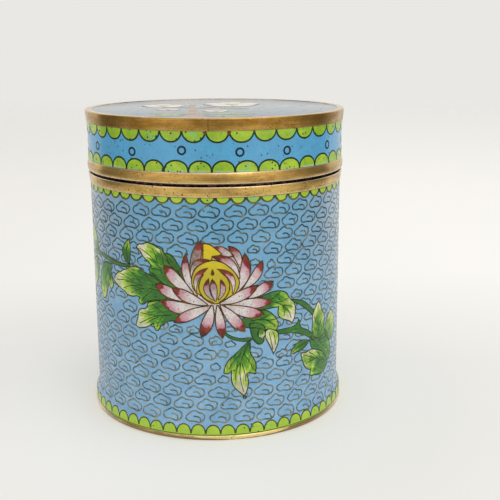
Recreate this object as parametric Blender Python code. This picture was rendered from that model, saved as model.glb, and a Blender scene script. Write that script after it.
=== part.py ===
"""Cloisonne tea caddy: an enamelled copper can with a lift-off enamelled lid and brass rings.

Metres, +Z up. The origin is the centre of the circle that the foot ring stands on.
Every piece is turned about the Z axis from its own cross-section.
"""

import math

import bmesh
import bpy

MM = 0.001

# Heights of the rings and coats, stacked from the foot to the top of the lid
BASE_RECESS = 0.6 * MM
BASE_ENAMEL_THICKNESS = 0.6 * MM
BODY_ENAMEL_HEIGHT = 65.8 * MM
MOUTH_RING_HEIGHT = 3.0 * MM
LID_RIM_RING_HEIGHT = 3.0 * MM
LID_SIDE_ENAMEL_HEIGHT = 10.3 * MM
LID_TOP_RING_HEIGHT = 3.2 * MM

# Outer radii: the body's own, and how far each ring and coat stands out
BODY_RADIUS = 36.8 * MM
FOOT_FLARE = 1.0 * MM
FOOT_RING_PROUD = 0.2 * MM
MOUTH_RING_FOOT_PROUD = 0.2 * MM
MOUTH_RING_TOP_PROUD = 0.6 * MM
LID_OVERSIZE = 0.45 * MM
LID_WAIST_DEPTH = 0.15 * MM
LID_RIM_RING_PROUD = 0.3 * MM
LID_TOP_RING_FOOT_PROUD = 0.15 * MM
LID_TOP_RING_PROUD = 0.45 * MM

# Heights along the profiles
FOOT_FLARE_HEIGHT = 4.0 * MM
FOOT_FLARE_LIP = 1.5 * MM

# Wall thicknesses
COPPER_THICKNESS = 0.8 * MM
FLOOR_THICKNESS = 0.8 * MM
LID_PLATE_THICKNESS = 0.8 * MM
SIDE_ENAMEL_THICKNESS = 0.9 * MM
LID_TOP_ENAMEL_THICKNESS = 0.9 * MM
FOOT_RING_WIDTH = 2.8 * MM
COLLAR_THICKNESS = 1.0 * MM
TOP_RIM_LIP = 0.45 * MM

# The collar's length, below the top of the mouth ring and above it
COLLAR_DEPTH = 12.0 * MM
COLLAR_RISE = 6.5 * MM

# Clearances
GAP = 0.3 * MM
LID_PLAY = 0.4 * MM
TOP_ENAMEL_DROP = 0.1 * MM

# Edge rounding
RING_EDGE = 0.45 * MM
FLOOR_FILLET = 1.5 * MM
COLLAR_EDGE = 0.3 * MM

# Facets
SEGMENTS = 60
ARC_STEPS = 2
CURVE_STEPS = 5

# Levels that follow from the stack
FOOT_RING_TOP = BASE_RECESS + BASE_ENAMEL_THICKNESS
BODY_BOTTOM = FOOT_RING_TOP + GAP
BODY_TOP = BODY_BOTTOM + BODY_ENAMEL_HEIGHT
MOUTH_BOTTOM = BODY_TOP + GAP
MOUTH_TOP = MOUTH_BOTTOM + MOUTH_RING_HEIGHT
LID_BOTTOM = MOUTH_TOP + GAP
LID_RIM_TOP = LID_BOTTOM + LID_RIM_RING_HEIGHT
LID_COAT_BOTTOM = LID_RIM_TOP + GAP
LID_COAT_TOP = LID_COAT_BOTTOM + LID_SIDE_ENAMEL_HEIGHT
LID_RING_BOTTOM = LID_COAT_TOP + GAP
LID_TOP = LID_RING_BOTTOM + LID_TOP_RING_HEIGHT
TOP_ENAMEL_TOP = LID_TOP - TOP_ENAMEL_DROP
TOP_ENAMEL_BOTTOM = TOP_ENAMEL_TOP - LID_TOP_ENAMEL_THICKNESS
LID_PLATE_TOP = TOP_ENAMEL_BOTTOM - GAP
LID_PLATE_BOTTOM = LID_PLATE_TOP - LID_PLATE_THICKNESS

# Radii that follow from the walls
CAN_OUTSIDE = BODY_RADIUS - SIDE_ENAMEL_THICKNESS - GAP
CAN_INSIDE = CAN_OUTSIDE - COPPER_THICKNESS
FOOT_RADIUS = BODY_RADIUS + FOOT_FLARE + FOOT_RING_PROUD
FOOT_INSIDE = FOOT_RADIUS - FOOT_RING_WIDTH
COLLAR_OUTSIDE = CAN_INSIDE - GAP
COLLAR_INSIDE = COLLAR_OUTSIDE - COLLAR_THICKNESS
LID_RADIUS = BODY_RADIUS + LID_OVERSIZE
CAP_OUTSIDE = LID_RADIUS - SIDE_ENAMEL_THICKNESS - GAP
CAP_INSIDE = CAP_OUTSIDE - COPPER_THICKNESS
LID_RIM_INSIDE = COLLAR_OUTSIDE + LID_PLAY
TOP_RING_RADIUS = LID_RADIUS + LID_TOP_RING_PROUD
TOP_RING_SKIRT_INSIDE = CAP_OUTSIDE + GAP
TOP_RIM_INSIDE = TOP_RING_SKIRT_INSIDE - TOP_RIM_LIP
TOP_ENAMEL_RADIUS = TOP_RIM_INSIDE - GAP


def clear_scene():
    for old in list(bpy.data.objects):
        bpy.data.objects.remove(old)


def make_material(name, colour, roughness, metallic):
    material = bpy.data.materials.new(name)
    material.use_nodes = True
    shader = material.node_tree.nodes["Principled BSDF"]
    shader.inputs["Base Color"].default_value = (*colour, 1.0)
    shader.inputs["Roughness"].default_value = roughness
    shader.inputs["Metallic"].default_value = metallic
    return material


def rounded(corner, inwards, radius):
    """Points of a quarter round in place of a square corner.

    corner is (r, z). inwards holds the signs of the directions in r and z that lead into the material.
    The points run from the side face to the end face.
    """
    centre_r = corner[0] + inwards[0] * radius
    centre_z = corner[1] + inwards[1] * radius
    points = []
    for step in range(ARC_STEPS + 1):
        angle = 0.5 * math.pi * step / ARC_STEPS
        r = centre_r - inwards[0] * radius * math.cos(angle)
        z = centre_z - inwards[1] * radius * math.sin(angle)
        points.append((r, z))
    return points


def smooth_step(share):
    return share * share * (3.0 - 2.0 * share)


def turn(name, profile, material):
    """Spins the closed outline of (r, z) points about Z into a solid."""
    mesh = bpy.data.meshes.new(name)
    solid = bmesh.new()
    outline = [solid.verts.new((r, 0.0, z)) for r, z in profile]
    edges = [solid.edges.new((a, b)) for a, b in zip(outline, outline[1:])]
    open_on_axis = profile[0][0] == 0.0 and profile[-1][0] == 0.0
    if not open_on_axis:
        edges.append(solid.edges.new((outline[-1], outline[0])))
    bmesh.ops.spin(
        solid,
        geom=outline + edges,
        cent=(0.0, 0.0, 0.0),
        axis=(0.0, 0.0, 1.0),
        angle=2.0 * math.pi,
        steps=SEGMENTS,
        use_merge=True,
    )
    bmesh.ops.remove_doubles(solid, verts=solid.verts, dist=0.001 * MM)
    bmesh.ops.recalc_face_normals(solid, faces=solid.faces)
    solid.to_mesh(mesh)
    solid.free()
    mesh.materials.append(material)
    mesh.shade_smooth()
    mesh.set_sharp_from_angle(angle=math.radians(30.0))
    piece = bpy.data.objects.new(name, mesh)
    bpy.context.scene.collection.objects.link(piece)
    return piece


def make_foot_ring(brass):
    edge = min(RING_EDGE, 0.45 * FOOT_RING_TOP, 0.45 * FOOT_RING_WIDTH)
    bottom = rounded((FOOT_RADIUS, 0.0), (-1, 1), edge)
    top = rounded((FOOT_RADIUS, FOOT_RING_TOP), (-1, -1), edge)
    profile = [*reversed(bottom), *top, (FOOT_INSIDE, FOOT_RING_TOP), (FOOT_INSIDE, 0.0)]
    return turn("foot_ring", profile, brass)


def make_body_can(copper):
    floor_top = BODY_BOTTOM + FLOOR_THICKNESS
    inner = rounded((CAN_INSIDE, floor_top), (-1, 1), FLOOR_FILLET)
    profile = [
        (0.0, BODY_BOTTOM),
        (CAN_OUTSIDE, BODY_BOTTOM),
        (CAN_OUTSIDE, BODY_TOP),
        (CAN_INSIDE, BODY_TOP),
        *inner,
        (0.0, floor_top),
    ]
    return turn("body_can", profile, copper)


def make_body_enamel(enamel):
    """A straight sleeve that flares out towards the foot, and ends in a short upright lip."""
    inside = CAN_OUTSIDE + GAP
    flare_bottom = BODY_BOTTOM + FOOT_FLARE_LIP
    profile = [(inside, BODY_BOTTOM), (BODY_RADIUS + FOOT_FLARE, BODY_BOTTOM)]
    for step in range(CURVE_STEPS + 1):
        share = step / CURVE_STEPS
        z = flare_bottom + share * FOOT_FLARE_HEIGHT
        profile.append((BODY_RADIUS + FOOT_FLARE * (1.0 - smooth_step(share)), z))
    profile += [(BODY_RADIUS, BODY_TOP), (inside, BODY_TOP)]
    return turn("body_enamel", profile, enamel)


def make_base_enamel(enamel):
    radius = FOOT_INSIDE - GAP
    profile = [
        (0.0, BASE_RECESS),
        (radius, BASE_RECESS),
        (radius, FOOT_RING_TOP),
        (0.0, FOOT_RING_TOP),
    ]
    return turn("base_enamel", profile, enamel)


def make_mouth_ring(brass):
    """Leans out from the body's coat to the lid's seat."""
    seat_radius = BODY_RADIUS + MOUTH_RING_TOP_PROUD
    edge = min(RING_EDGE, 0.45 * MOUTH_RING_HEIGHT)
    profile = [
        (CAN_INSIDE, MOUTH_BOTTOM),
        (BODY_RADIUS + MOUTH_RING_FOOT_PROUD, MOUTH_BOTTOM),
        *rounded((seat_radius, MOUTH_TOP), (-1, -1), edge),
        (CAN_INSIDE, MOUTH_TOP),
    ]
    return turn("mouth_ring", profile, brass)


def make_neck_collar(brass):
    bottom = MOUTH_TOP - COLLAR_DEPTH
    top = MOUTH_TOP + COLLAR_RISE
    edge = min(COLLAR_EDGE, 0.45 * COLLAR_THICKNESS)
    profile = [
        (COLLAR_INSIDE, bottom),
        (COLLAR_OUTSIDE, bottom),
        *rounded((COLLAR_OUTSIDE, top), (-1, -1), edge),
        *reversed(rounded((COLLAR_INSIDE, top), (1, -1), edge)),
    ]
    return turn("neck_collar", profile, brass)


def make_lid_rim_ring(brass):
    """A ring with a rounded belly, that rests on the mouth ring."""
    radius = LID_RADIUS + LID_RIM_RING_PROUD
    edge = min(RING_EDGE, 0.45 * LID_RIM_RING_HEIGHT)
    profile = [
        (LID_RIM_INSIDE, LID_BOTTOM),
        *reversed(rounded((radius - 0.5 * LID_RIM_RING_PROUD, LID_BOTTOM), (-1, 1), edge)),
        (radius, LID_BOTTOM + 0.45 * LID_RIM_RING_HEIGHT),
        (LID_RADIUS, LID_RIM_TOP),
        (LID_RIM_INSIDE, LID_RIM_TOP),
    ]
    return turn("lid_rim_ring", profile, brass)


def make_lid_cap(copper):
    inner = rounded((CAP_INSIDE, LID_PLATE_BOTTOM), (-1, -1), FLOOR_FILLET)
    profile = [
        (0.0, LID_PLATE_BOTTOM),
        *reversed(inner),
        (CAP_INSIDE, LID_COAT_BOTTOM),
        (CAP_OUTSIDE, LID_COAT_BOTTOM),
        (CAP_OUTSIDE, LID_PLATE_TOP),
        (0.0, LID_PLATE_TOP),
    ]
    return turn("lid_cap", profile, copper)


def make_lid_side_enamel(enamel):
    """A sleeve that draws in a little between its two rings."""
    inside = CAP_OUTSIDE + GAP
    profile = [(inside, LID_COAT_BOTTOM)]
    for step in range(CURVE_STEPS + 1):
        share = step / CURVE_STEPS
        z = LID_COAT_BOTTOM + share * LID_SIDE_ENAMEL_HEIGHT
        profile.append((LID_RADIUS - LID_WAIST_DEPTH * math.sin(math.pi * share), z))
    profile.append((inside, LID_COAT_TOP))
    return turn("lid_side_enamel", profile, enamel)


def make_lid_top_enamel(enamel):
    profile = [
        (0.0, TOP_ENAMEL_BOTTOM),
        (TOP_ENAMEL_RADIUS, TOP_ENAMEL_BOTTOM),
        (TOP_ENAMEL_RADIUS, TOP_ENAMEL_TOP),
        (0.0, TOP_ENAMEL_TOP),
    ]
    return turn("lid_top_enamel", profile, enamel)


def make_lid_top_ring(brass):
    """A skirt round the cap's edge, with a flat rim that frames the top enamel."""
    foot_radius = LID_RADIUS + LID_TOP_RING_FOOT_PROUD
    edge = min(RING_EDGE, 0.45 * LID_TOP_RING_HEIGHT)
    profile = [
        (TOP_RING_SKIRT_INSIDE, LID_RING_BOTTOM),
        (foot_radius, LID_RING_BOTTOM),
        *rounded((TOP_RING_RADIUS, LID_TOP), (-1, -1), edge),
        (TOP_RIM_INSIDE, LID_TOP),
        (TOP_RIM_INSIDE, TOP_ENAMEL_BOTTOM),
        (TOP_RING_SKIRT_INSIDE, TOP_ENAMEL_BOTTOM),
    ]
    return turn("lid_top_ring", profile, brass)


def main():
    clear_scene()
    brass = make_material("brass", (0.42, 0.25, 0.07), 0.35, 1.0)
    copper = make_material("copper", (0.45, 0.20, 0.10), 0.45, 1.0)
    enamel = make_material("blue_enamel", (0.11, 0.38, 0.62), 0.15, 0.0)
    make_foot_ring(brass)
    make_body_can(copper)
    make_body_enamel(enamel)
    make_base_enamel(enamel)
    make_mouth_ring(brass)
    make_neck_collar(brass)
    make_lid_rim_ring(brass)
    make_lid_cap(copper)
    make_lid_side_enamel(enamel)
    make_lid_top_enamel(enamel)
    make_lid_top_ring(brass)


main()
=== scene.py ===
"""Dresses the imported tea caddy: brass rings, enamel coats, cloison wires and the inlaid flower sprays.

Flat drawings are in millimetres. On the body and the lid their first number is the distance round the
surface from the middle of the front, positive to the right, and their second is the height above the foot.
"""

import math
import random

import bmesh
import bpy
from mathutils import Matrix, Vector


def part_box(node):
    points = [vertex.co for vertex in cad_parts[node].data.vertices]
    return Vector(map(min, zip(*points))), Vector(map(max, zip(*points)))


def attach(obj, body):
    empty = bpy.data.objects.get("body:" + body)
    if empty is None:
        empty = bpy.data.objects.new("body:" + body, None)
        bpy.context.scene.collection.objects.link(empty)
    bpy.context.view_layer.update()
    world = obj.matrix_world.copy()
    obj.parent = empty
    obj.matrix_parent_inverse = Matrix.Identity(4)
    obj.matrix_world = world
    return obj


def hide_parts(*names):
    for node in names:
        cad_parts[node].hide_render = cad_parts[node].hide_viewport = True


bl_info = {
    "name": "Enamel Tea Caddy",
    "version": (1, 0, 0),
    "blender": (4, 5, 0),
    "location": "View3D > Sidebar > Tea Caddy",
    "description": "Dresses the tea caddy with brass rings, enamel coats, wires and inlaid sprays",
    "category": "Add Mesh",
}

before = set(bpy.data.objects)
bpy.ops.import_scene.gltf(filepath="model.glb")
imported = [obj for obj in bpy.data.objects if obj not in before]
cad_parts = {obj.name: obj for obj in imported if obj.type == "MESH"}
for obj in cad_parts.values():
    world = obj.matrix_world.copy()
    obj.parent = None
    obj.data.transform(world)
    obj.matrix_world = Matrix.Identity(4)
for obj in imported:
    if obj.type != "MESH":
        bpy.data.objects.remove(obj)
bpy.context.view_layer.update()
MM = 0.001


def span(node):
    """Bottom, top and outer radius of a CAD node, in millimetres."""
    low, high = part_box(node)
    return low[2] / MM, high[2] / MM, high[0] / MM


def tint(red, green, blue):
    """Turns a screen colour of 0 to 255 into the linear colour that Blender's sockets take."""
    linear = []
    for value in (red, green, blue):
        share = value / 255.0
        linear.append(share / 12.92 if share <= 0.04045 else ((share + 0.055) / 1.055) ** 2.4)
    return (*linear, 1.0)


FOOT_LOW, FOOT_HIGH, FOOT_RADIUS = span("foot_ring")
BODY_LOW, BODY_HIGH, FLARE_RADIUS = span("body_enamel")
MOUTH_LOW, MOUTH_HIGH, MOUTH_RADIUS = span("mouth_ring")
RIM_LOW, RIM_HIGH, RIM_RADIUS = span("lid_rim_ring")
LID_LOW, LID_HIGH, LID_RADIUS = span("lid_side_enamel")
_, TOP_HIGH, TOP_RADIUS = span("lid_top_ring")
DISC_LOW, DISC_HIGH, DISC_RADIUS = span("lid_top_enamel")
BASE_LOW, BASE_HIGH, BASE_RADIUS = span("base_enamel")

BODY_RADIUS = FLARE_RADIUS - 1.0
FLARE_LOW = BODY_LOW + 1.5
FLARE_HIGH = FLARE_LOW + 4.0
COAT_THICKNESS = 0.9
WAIST = 0.15
AROUND_BODY = 2.0 * math.pi * BODY_RADIUS
AROUND_LID = 2.0 * math.pi * LID_RADIUS

# Rings: inner radii, and outer radii where they differ from the widest place
MOUTH_INSIDE = 34.8
MOUTH_FOOT_RADIUS = 37.0
GROOVE_RADIUS = 35.8
GROOVE_DEPTH = 0.28
RIM_INSIDE = 34.9
RIM_EDGE_RADIUS = 37.4
RIM_SIDE_RADIUS = 37.5
RIM_TOP_RADIUS = 37.25
RIM_CROWN = 72.3
RIM_CROWN_HALF = 0.6
TOP_INSIDE = 36.35
TOP_EDGE_RADIUS = 37.4

# How far coats and rings run into each other, and how finely fields are cut to lie on a round ground
JOIN = 0.15
GROUND_STEP = 0.7

# Heights of the inlays over their ground, of a wire over its field, and how deep a field goes
CLOUD_LEVEL = 0.02
SCALLOP_BAND_LEVEL = 0.026
SCALLOP_LEVEL = 0.03
SCALLOP_WIRE_LEVEL = 0.045
CUSP_LEVEL = 0.05
GAP_LEVEL = 0.052
STEM_LEVEL = 0.03
LEAF_LEVEL = 0.034
BACK_LEAF_LEVEL = 0.036
BACK_PETAL_LEVEL = 0.05
PETAL_GROUND_LEVEL = 0.055
PETAL_LEVEL = 0.06
BRANCH_LEVEL = 0.020
BRANCH_WIRE_LEVEL = 0.029
TOP_LEAF_LEVEL = 0.038
BLOSSOM_LEVEL = 0.04
BLOSSOM_HEART_LEVEL = 0.08
WIRE_RISE = 0.006
FIELD_DEPTH = 0.12


# Sizes and colours that a user would change


def length_setting(name, description, default, low, high):
    """A length property, with its default and limits in millimetres."""
    return bpy.props.FloatProperty(
        name=name, description=description, default=default * MM, min=low * MM, max=high * MM, unit="LENGTH"
    )


class CaddySizes(bpy.types.PropertyGroup):
    """Widths and heights of the wires, fields and ring edges"""

    wire_width: length_setting("Wire width", "Width of the wires that draw the clouds", 0.4232, 0.05, 1.0)
    spray_wire_width: length_setting(
        "Spray wire width", "Width of the wires round the petals and leaves", 0.31, 0.05, 1.0)
    scallop_wire_width: length_setting(
        "Scallop wire width", "Width of the wires round the green scallops", 0.40, 0.05, 1.0)
    inlay_step: length_setting(
        "Inlay step", "Height by which each inlaid field lies over the one behind it", 0.014, 0.006, 0.03)
    ring_rounding: length_setting(
        "Ring rounding", "Radius of the worn outer edges of the brass rings", 0.45, 0.1, 0.6)


def colour_setting(name, description, default):
    """A colour property with its name, description and default."""
    return bpy.props.FloatVectorProperty(
        name=name, description=description, subtype="COLOR", size=4, min=0.0, max=1.0, default=default
    )


class CaddyColours(bpy.types.PropertyGroup):
    """Colours of the enamels, the wires and the brass"""

    body_high: colour_setting("Body blue, top", "Enamel ground near the mouth", tint(101, 166, 203))
    body_low: colour_setting("Body blue, bottom", "Enamel ground near the foot", tint(133, 182, 218))
    lid_blue: colour_setting("Lid blue", "Enamel ground on the lid's side", tint(80, 166, 212))
    top_blue: colour_setting("Top blue", "Enamel ground on the lid's top", tint(78, 120, 150))
    scallop_green: colour_setting("Scallop green", "Yellow-green enamel of the scallops", tint(152, 192, 34))
    leaf_dark: colour_setting("Leaf, dark", "Leaf enamel near the stems", tint(42, 106, 28))
    leaf_mid: colour_setting("Leaf, middle", "Leaf enamel half way", tint(92, 162, 28))
    leaf_bright: colour_setting("Leaf, bright", "Leaf enamel in the lobes", tint(170, 208, 60))
    leaf_cream: colour_setting("Leaf, cream", "Leaf enamel at the edges and tips", tint(226, 229, 204))
    petal_white: colour_setting("Petal, white", "Petal enamel near the heart", tint(221, 214, 211))
    petal_pink: colour_setting("Petal, pink", "Petal enamel before the tip", tint(198, 136, 150))
    petal_tip: colour_setting("Petal, tip", "Petal enamel at the tip", tint(106, 14, 12))
    heart_yellow: colour_setting("Heart, yellow", "Enamel of the flower's heart", tint(224, 200, 18))
    brass_bright: colour_setting("Brass, bright", "Rubbed brass", (0.92, 0.74, 0.28, 1.0))
    brass_tarnish: colour_setting("Brass, tarnish", "Brown tarnish on the brass", (0.46, 0.27, 0.09, 1.0))
    wire_dark: colour_setting("Cloud wire", "Tarnished wire in the blue ground", tint(48, 80, 88))
    wire_gold: colour_setting("Spray wire", "Wire round petals and leaves", tint(126, 88, 14))


class StageSettings(bpy.types.PropertyGroup):
    """Colours and light of the stage"""

    paper: colour_setting("Paper", "Colour of the plain floor", tint(236, 235, 231))
    backdrop: colour_setting("Backdrop", "Plain colour behind the caddy", tint(233, 232, 228))
    sky_strength: bpy.props.FloatProperty(
        name="Sky strength", description="Brightness of the even light all round",
        default=0.72, min=0.0, max=4.0
    )
    key_power: bpy.props.FloatProperty(
        name="Key power", description="Power of the large soft light",
        default=2.4, min=0.0, max=100.0, unit="POWER"
    )
    front_power: bpy.props.FloatProperty(
        name="Front power", description="Power of the soft front light",
        default=0.6, min=0.0, max=100.0, unit="POWER"
    )


# Ground surfaces that the flat drawings are laid on


def body_radius(height):
    """Outer radius of the body's enamel coat, in millimetres."""
    share = min(max((height - FLARE_LOW) / (FLARE_HIGH - FLARE_LOW), 0.0), 1.0)
    return FLARE_RADIUS - (FLARE_RADIUS - BODY_RADIUS) * share * share * (3.0 - 2.0 * share)


def lid_radius(height):
    """Outer radius of the lid's enamel coat, in millimetres."""
    share = min(max((height - LID_LOW) / (LID_HIGH - LID_LOW), 0.0), 1.0)
    return LID_RADIUS - WAIST * math.sin(math.pi * share)


GROUNDS = {"body": (BODY_RADIUS, body_radius), "lid": (LID_RADIUS, lid_radius), "top": (0.0, None)}


def laid(ground, across, height, proud):
    """The place on a ground, in metres, of a point of a flat drawing."""
    turn, radius_at = GROUNDS[ground]
    if radius_at is None:
        return Vector((across, height, DISC_HIGH + proud)) * MM
    reach = radius_at(height) + proud
    angle = across / turn
    return Vector((reach * math.sin(angle), -reach * math.cos(angle), height)) * MM


def ground_normal(ground, point):
    """Outward direction of a ground under a point in metres."""
    radius_at = GROUNDS[ground][1]
    if radius_at is None:
        return Vector((0.0, 0.0, 1.0))
    height = point.z / MM
    lean = (radius_at(height + 0.1) - radius_at(height - 0.1)) / 0.2
    out = Vector((point.x, point.y, 0.0)).normalized()
    return Vector((out.x, out.y, -lean)).normalized()


# Node helpers and shared surface effects


def add(tree, kind, inputs=None, **settings):
    """Adds a node. Inputs that are sockets are linked, and other values are set on the socket."""
    node = tree.nodes.new(kind)
    for name, value in settings.items():
        setattr(node, name, value)
    for key, value in (inputs or {}).items():
        if isinstance(value, bpy.types.NodeSocket):
            tree.links.new(value, node.inputs[key])
        else:
            node.inputs[key].default_value = value
    return node


def blend(tree, factor, first, second, mode="MIX"):
    """A colour between two colours."""
    node = add(tree, "ShaderNodeMix", data_type="RGBA", blend_type=mode,
               inputs={0: factor, 6: first, 7: second})
    return node.outputs[2]


def reckon(tree, operation, first, second=0.0, third=0.0, clamp=False):
    """One step of arithmetic."""
    inputs = {0: first, 1: second, 2: third}
    return add(tree, "ShaderNodeMath", operation=operation, use_clamp=clamp, inputs=inputs).outputs[0]


def spread(tree, value, low, high, to_low=0.0, to_high=1.0):
    """Stretches a value from one range to another, clamped."""
    inputs = {"Value": value, "From Min": low, "From Max": high, "To Min": to_low, "To Max": to_high}
    return add(tree, "ShaderNodeMapRange", inputs=inputs).outputs["Result"]


def grain(tree, place, scale, detail=2.0, roughness=0.5):
    """Noise from 0 to 1 at a scale in features per metre."""
    inputs = {"Vector": place, "Scale": scale, "Detail": detail, "Roughness": roughness}
    return add(tree, "ShaderNodeTexNoise", inputs=inputs).outputs["Fac"]


def stretched(tree, place, scale):
    """A place squeezed or stretched along each axis."""
    return add(tree, "ShaderNodeMapping", inputs={"Vector": place, "Scale": scale}).outputs["Vector"]


def ramp(tree, value, stops):
    """A colour ramp over (position, colour) stops."""
    node = add(tree, "ShaderNodeValToRGB", inputs={"Fac": value})
    elements = node.color_ramp.elements
    while len(elements) < len(stops):
        elements.new(0.5)
    for element, (position, colour) in zip(elements, stops):
        element.position = position
    for element, (position, colour) in zip(elements, stops):
        element.color = colour
    return node.outputs["Color"]


def scaled(tree, colour, amount):
    """A colour made darker or brighter."""
    return add(tree, "ShaderNodeVectorMath", operation="SCALE",
               inputs={0: colour, "Scale": amount}).outputs[0]


def apart(tree, place):
    """The three numbers of a place, as sockets X, Y and Z."""
    return add(tree, "ShaderNodeSeparateXYZ", inputs={"Vector": place}).outputs


def far_from(tree, place, point):
    """Distance from a point, in metres."""
    return add(tree, "ShaderNodeVectorMath", operation="DISTANCE",
               inputs={0: place, 1: point}).outputs["Value"]


def axis_distance(tree, place):
    """Distance from the upright axis, in metres."""
    flat = add(tree, "ShaderNodeVectorMath", operation="MULTIPLY", inputs={0: place, 1: (1.0, 1.0, 0.0)})
    return far_from(tree, flat.outputs[0], (0.0, 0.0, 0.0))


def bearing(tree, place):
    """Angle round the axis from the middle of the front, positive to the right."""
    parts = apart(tree, place)
    return reckon(tree, "ARCTAN2", parts["X"], reckon(tree, "MULTIPLY", parts["Y"], -1.0))


def side_distance(tree, place):
    """Distance round the side from the middle of the front, in millimetres."""
    return reckon(tree, "MULTIPLY", bearing(tree, place), BODY_RADIUS)


def by_height(tree, place, low, high, to_low=0.0, to_high=1.0):
    """A value that changes between two heights in millimetres."""
    return spread(tree, apart(tree, place)["Z"], low * MM, high * MM, to_low, to_high)


def field_place(tree):
    """What the drawing of a field gave each of its points: along, across and tone."""
    return add(tree, "ShaderNodeAttribute", attribute_name="place").outputs["Vector"]


def effect_group(name, inputs, outputs):
    """An empty shader node group with named sockets, and its input and output nodes."""
    tree = bpy.data.node_groups.new(name, "ShaderNodeTree")
    for label, kind in inputs:
        tree.interface.new_socket(label, in_out="INPUT", socket_type=kind)
    for label, kind in outputs:
        tree.interface.new_socket(label, in_out="OUTPUT", socket_type=kind)
    return tree, add(tree, "NodeGroupInput").outputs, add(tree, "NodeGroupOutput").inputs


COLOUR = "NodeSocketColor"
NUMBER = "NodeSocketFloat"
PLACE = "NodeSocketVector"


def speck_mask(tree, place, scale, share, size):
    """Small round dots in a share of the cells of a cell pattern."""
    cells = add(tree, "ShaderNodeTexVoronoi", inputs={"Vector": place, "Scale": scale})
    chosen = reckon(tree, "LESS_THAN", add(tree, "ShaderNodeSeparateColor", inputs={
        "Color": cells.outputs["Color"]}).outputs["Red"], share)
    near = spread(tree, cells.outputs["Distance"], reckon(tree, "MULTIPLY", size, 0.6), size, 1.0, 0.0)
    return reckon(tree, "MULTIPLY", chosen, near)


def enamel_group():
    """Fired and polished enamel: soft mottling, fine grain and small dark pits."""
    name = "Fired enamel"
    if name in bpy.data.node_groups:
        return bpy.data.node_groups[name]
    tree, given, out = effect_group(
        name,
        [("Place", PLACE), ("Colour", COLOUR), ("Mottle Colour", COLOUR), ("Mottle", NUMBER),
         ("Speck Colour", COLOUR), ("Speck Share", NUMBER), ("Speck Scale", NUMBER), ("Speck Size", NUMBER)],
        [("Colour", COLOUR), ("Roughness", NUMBER), ("Height", NUMBER)],
    )
    clouding = grain(tree, given["Place"], 260.0, 4.0, 0.6)
    fine = grain(tree, given["Place"], 2600.0, 2.0, 0.6)
    cover = reckon(tree, "MULTIPLY", spread(tree, clouding, 0.38, 0.68), given["Mottle"])
    colour = blend(tree, cover, given["Colour"], given["Mottle Colour"])
    shade = spread(tree, fine, 0.3, 0.7, 0.93, 1.07)
    colour = scaled(tree, colour, shade)
    crowd = spread(tree, grain(tree, given["Place"], 150.0, 2.0), 0.38, 0.66, 0.65, 1.9)
    specks = speck_mask(tree, given["Place"], given["Speck Scale"],
                        reckon(tree, "MULTIPLY", given["Speck Share"], crowd), given["Speck Size"])
    colour = blend(tree, specks, colour, given["Speck Colour"])
    tree.links.new(colour, out["Colour"])
    tree.links.new(reckon(tree, "ADD", spread(tree, clouding, 0.3, 0.7, 0.14, 0.24),
                          reckon(tree, "MULTIPLY", specks, 0.4)), out["Roughness"])
    ripple = reckon(tree, "MULTIPLY", grain(tree, given["Place"], 420.0, 2.0), 0.6)
    height = reckon(tree, "ADD", ripple, reckon(tree, "MULTIPLY", fine, 0.10))
    tree.links.new(reckon(tree, "SUBTRACT", height, reckon(tree, "MULTIPLY", specks, 0.7)), out["Height"])
    return tree


def brass_group():
    """Worn brass: brown stains, fine scratches that run round the ring, and pits."""
    name = "Worn brass"
    if name in bpy.data.node_groups:
        return bpy.data.node_groups[name]
    tree, given, out = effect_group(
        name,
        [("Place", PLACE), ("Bright", COLOUR), ("Tarnish", COLOUR), ("Stain", NUMBER), ("Pits", NUMBER),
         ("Grain", NUMBER)],
        [("Colour", COLOUR), ("Roughness", NUMBER), ("Height", NUMBER)],
    )
    blotch = grain(tree, stretched(tree, given["Place"], (1.0, 1.0, 3.0)), 130.0, 5.0, 0.62)
    scratches = grain(tree, stretched(tree, given["Place"], (60.0, 60.0, 3200.0)), 1.0, 3.0, 0.7)
    drift = reckon(tree, "SUBTRACT", given["Stain"], 0.5)
    stain = spread(tree, reckon(tree, "ADD", blotch, drift), 0.38, 0.66)
    smudges = reckon(tree, "MULTIPLY", spread(tree, grain(
        tree, stretched(tree, given["Place"], (1.0, 1.0, 4.5)), 850.0, 3.0, 0.65), 0.56, 0.66), spread(
        tree, grain(tree, given["Place"], 110.0, 2.0), 0.46, 0.60))
    dots = reckon(tree, "ADD", speck_mask(tree, given["Place"], 900.0, 0.09, 0.26),
                  speck_mask(tree, stretched(tree, given["Place"], (1.0, 1.0, 1.4)), 1700.0, 0.12, 0.34))
    pits = reckon(tree, "MULTIPLY", reckon(tree, "ADD", dots, reckon(tree, "MULTIPLY", smudges, 0.8)),
                  given["Pits"], clamp=True)
    colour = blend(tree, stain, given["Bright"], given["Tarnish"])
    patches = spread(tree, grain(tree, given["Place"], 520.0, 3.0, 0.6), 0.50, 0.66, 0.0, 0.4)
    colour = blend(tree, reckon(tree, "MULTIPLY", patches, given["Grain"]), colour, (0.66, 0.37, 0.24, 1.0))
    fleck = spread(tree, grain(tree, given["Place"], 2400.0, 3.0, 0.75), 0.3, 0.7, -0.24, 0.24)
    streak = reckon(tree, "ADD", spread(tree, scratches, 0.3, 0.7, 0.80, 1.16),
                    reckon(tree, "MULTIPLY", fleck, given["Grain"]))
    colour = blend(tree, pits, scaled(tree, colour, streak), scaled(tree, given["Tarnish"], 0.35))
    tree.links.new(colour, out["Colour"])
    rough = reckon(tree, "ADD", spread(tree, stain, 0.0, 1.0, 0.16, 0.30),
                   reckon(tree, "MULTIPLY", pits, 0.3))
    tree.links.new(reckon(tree, "ADD", rough, spread(tree, scratches, 0.3, 0.7, 0.0, 0.06)), out["Roughness"])
    height = reckon(tree, "SUBTRACT", reckon(tree, "MULTIPLY", scratches, 0.5), pits)
    tree.links.new(height, out["Height"])
    return tree


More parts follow.
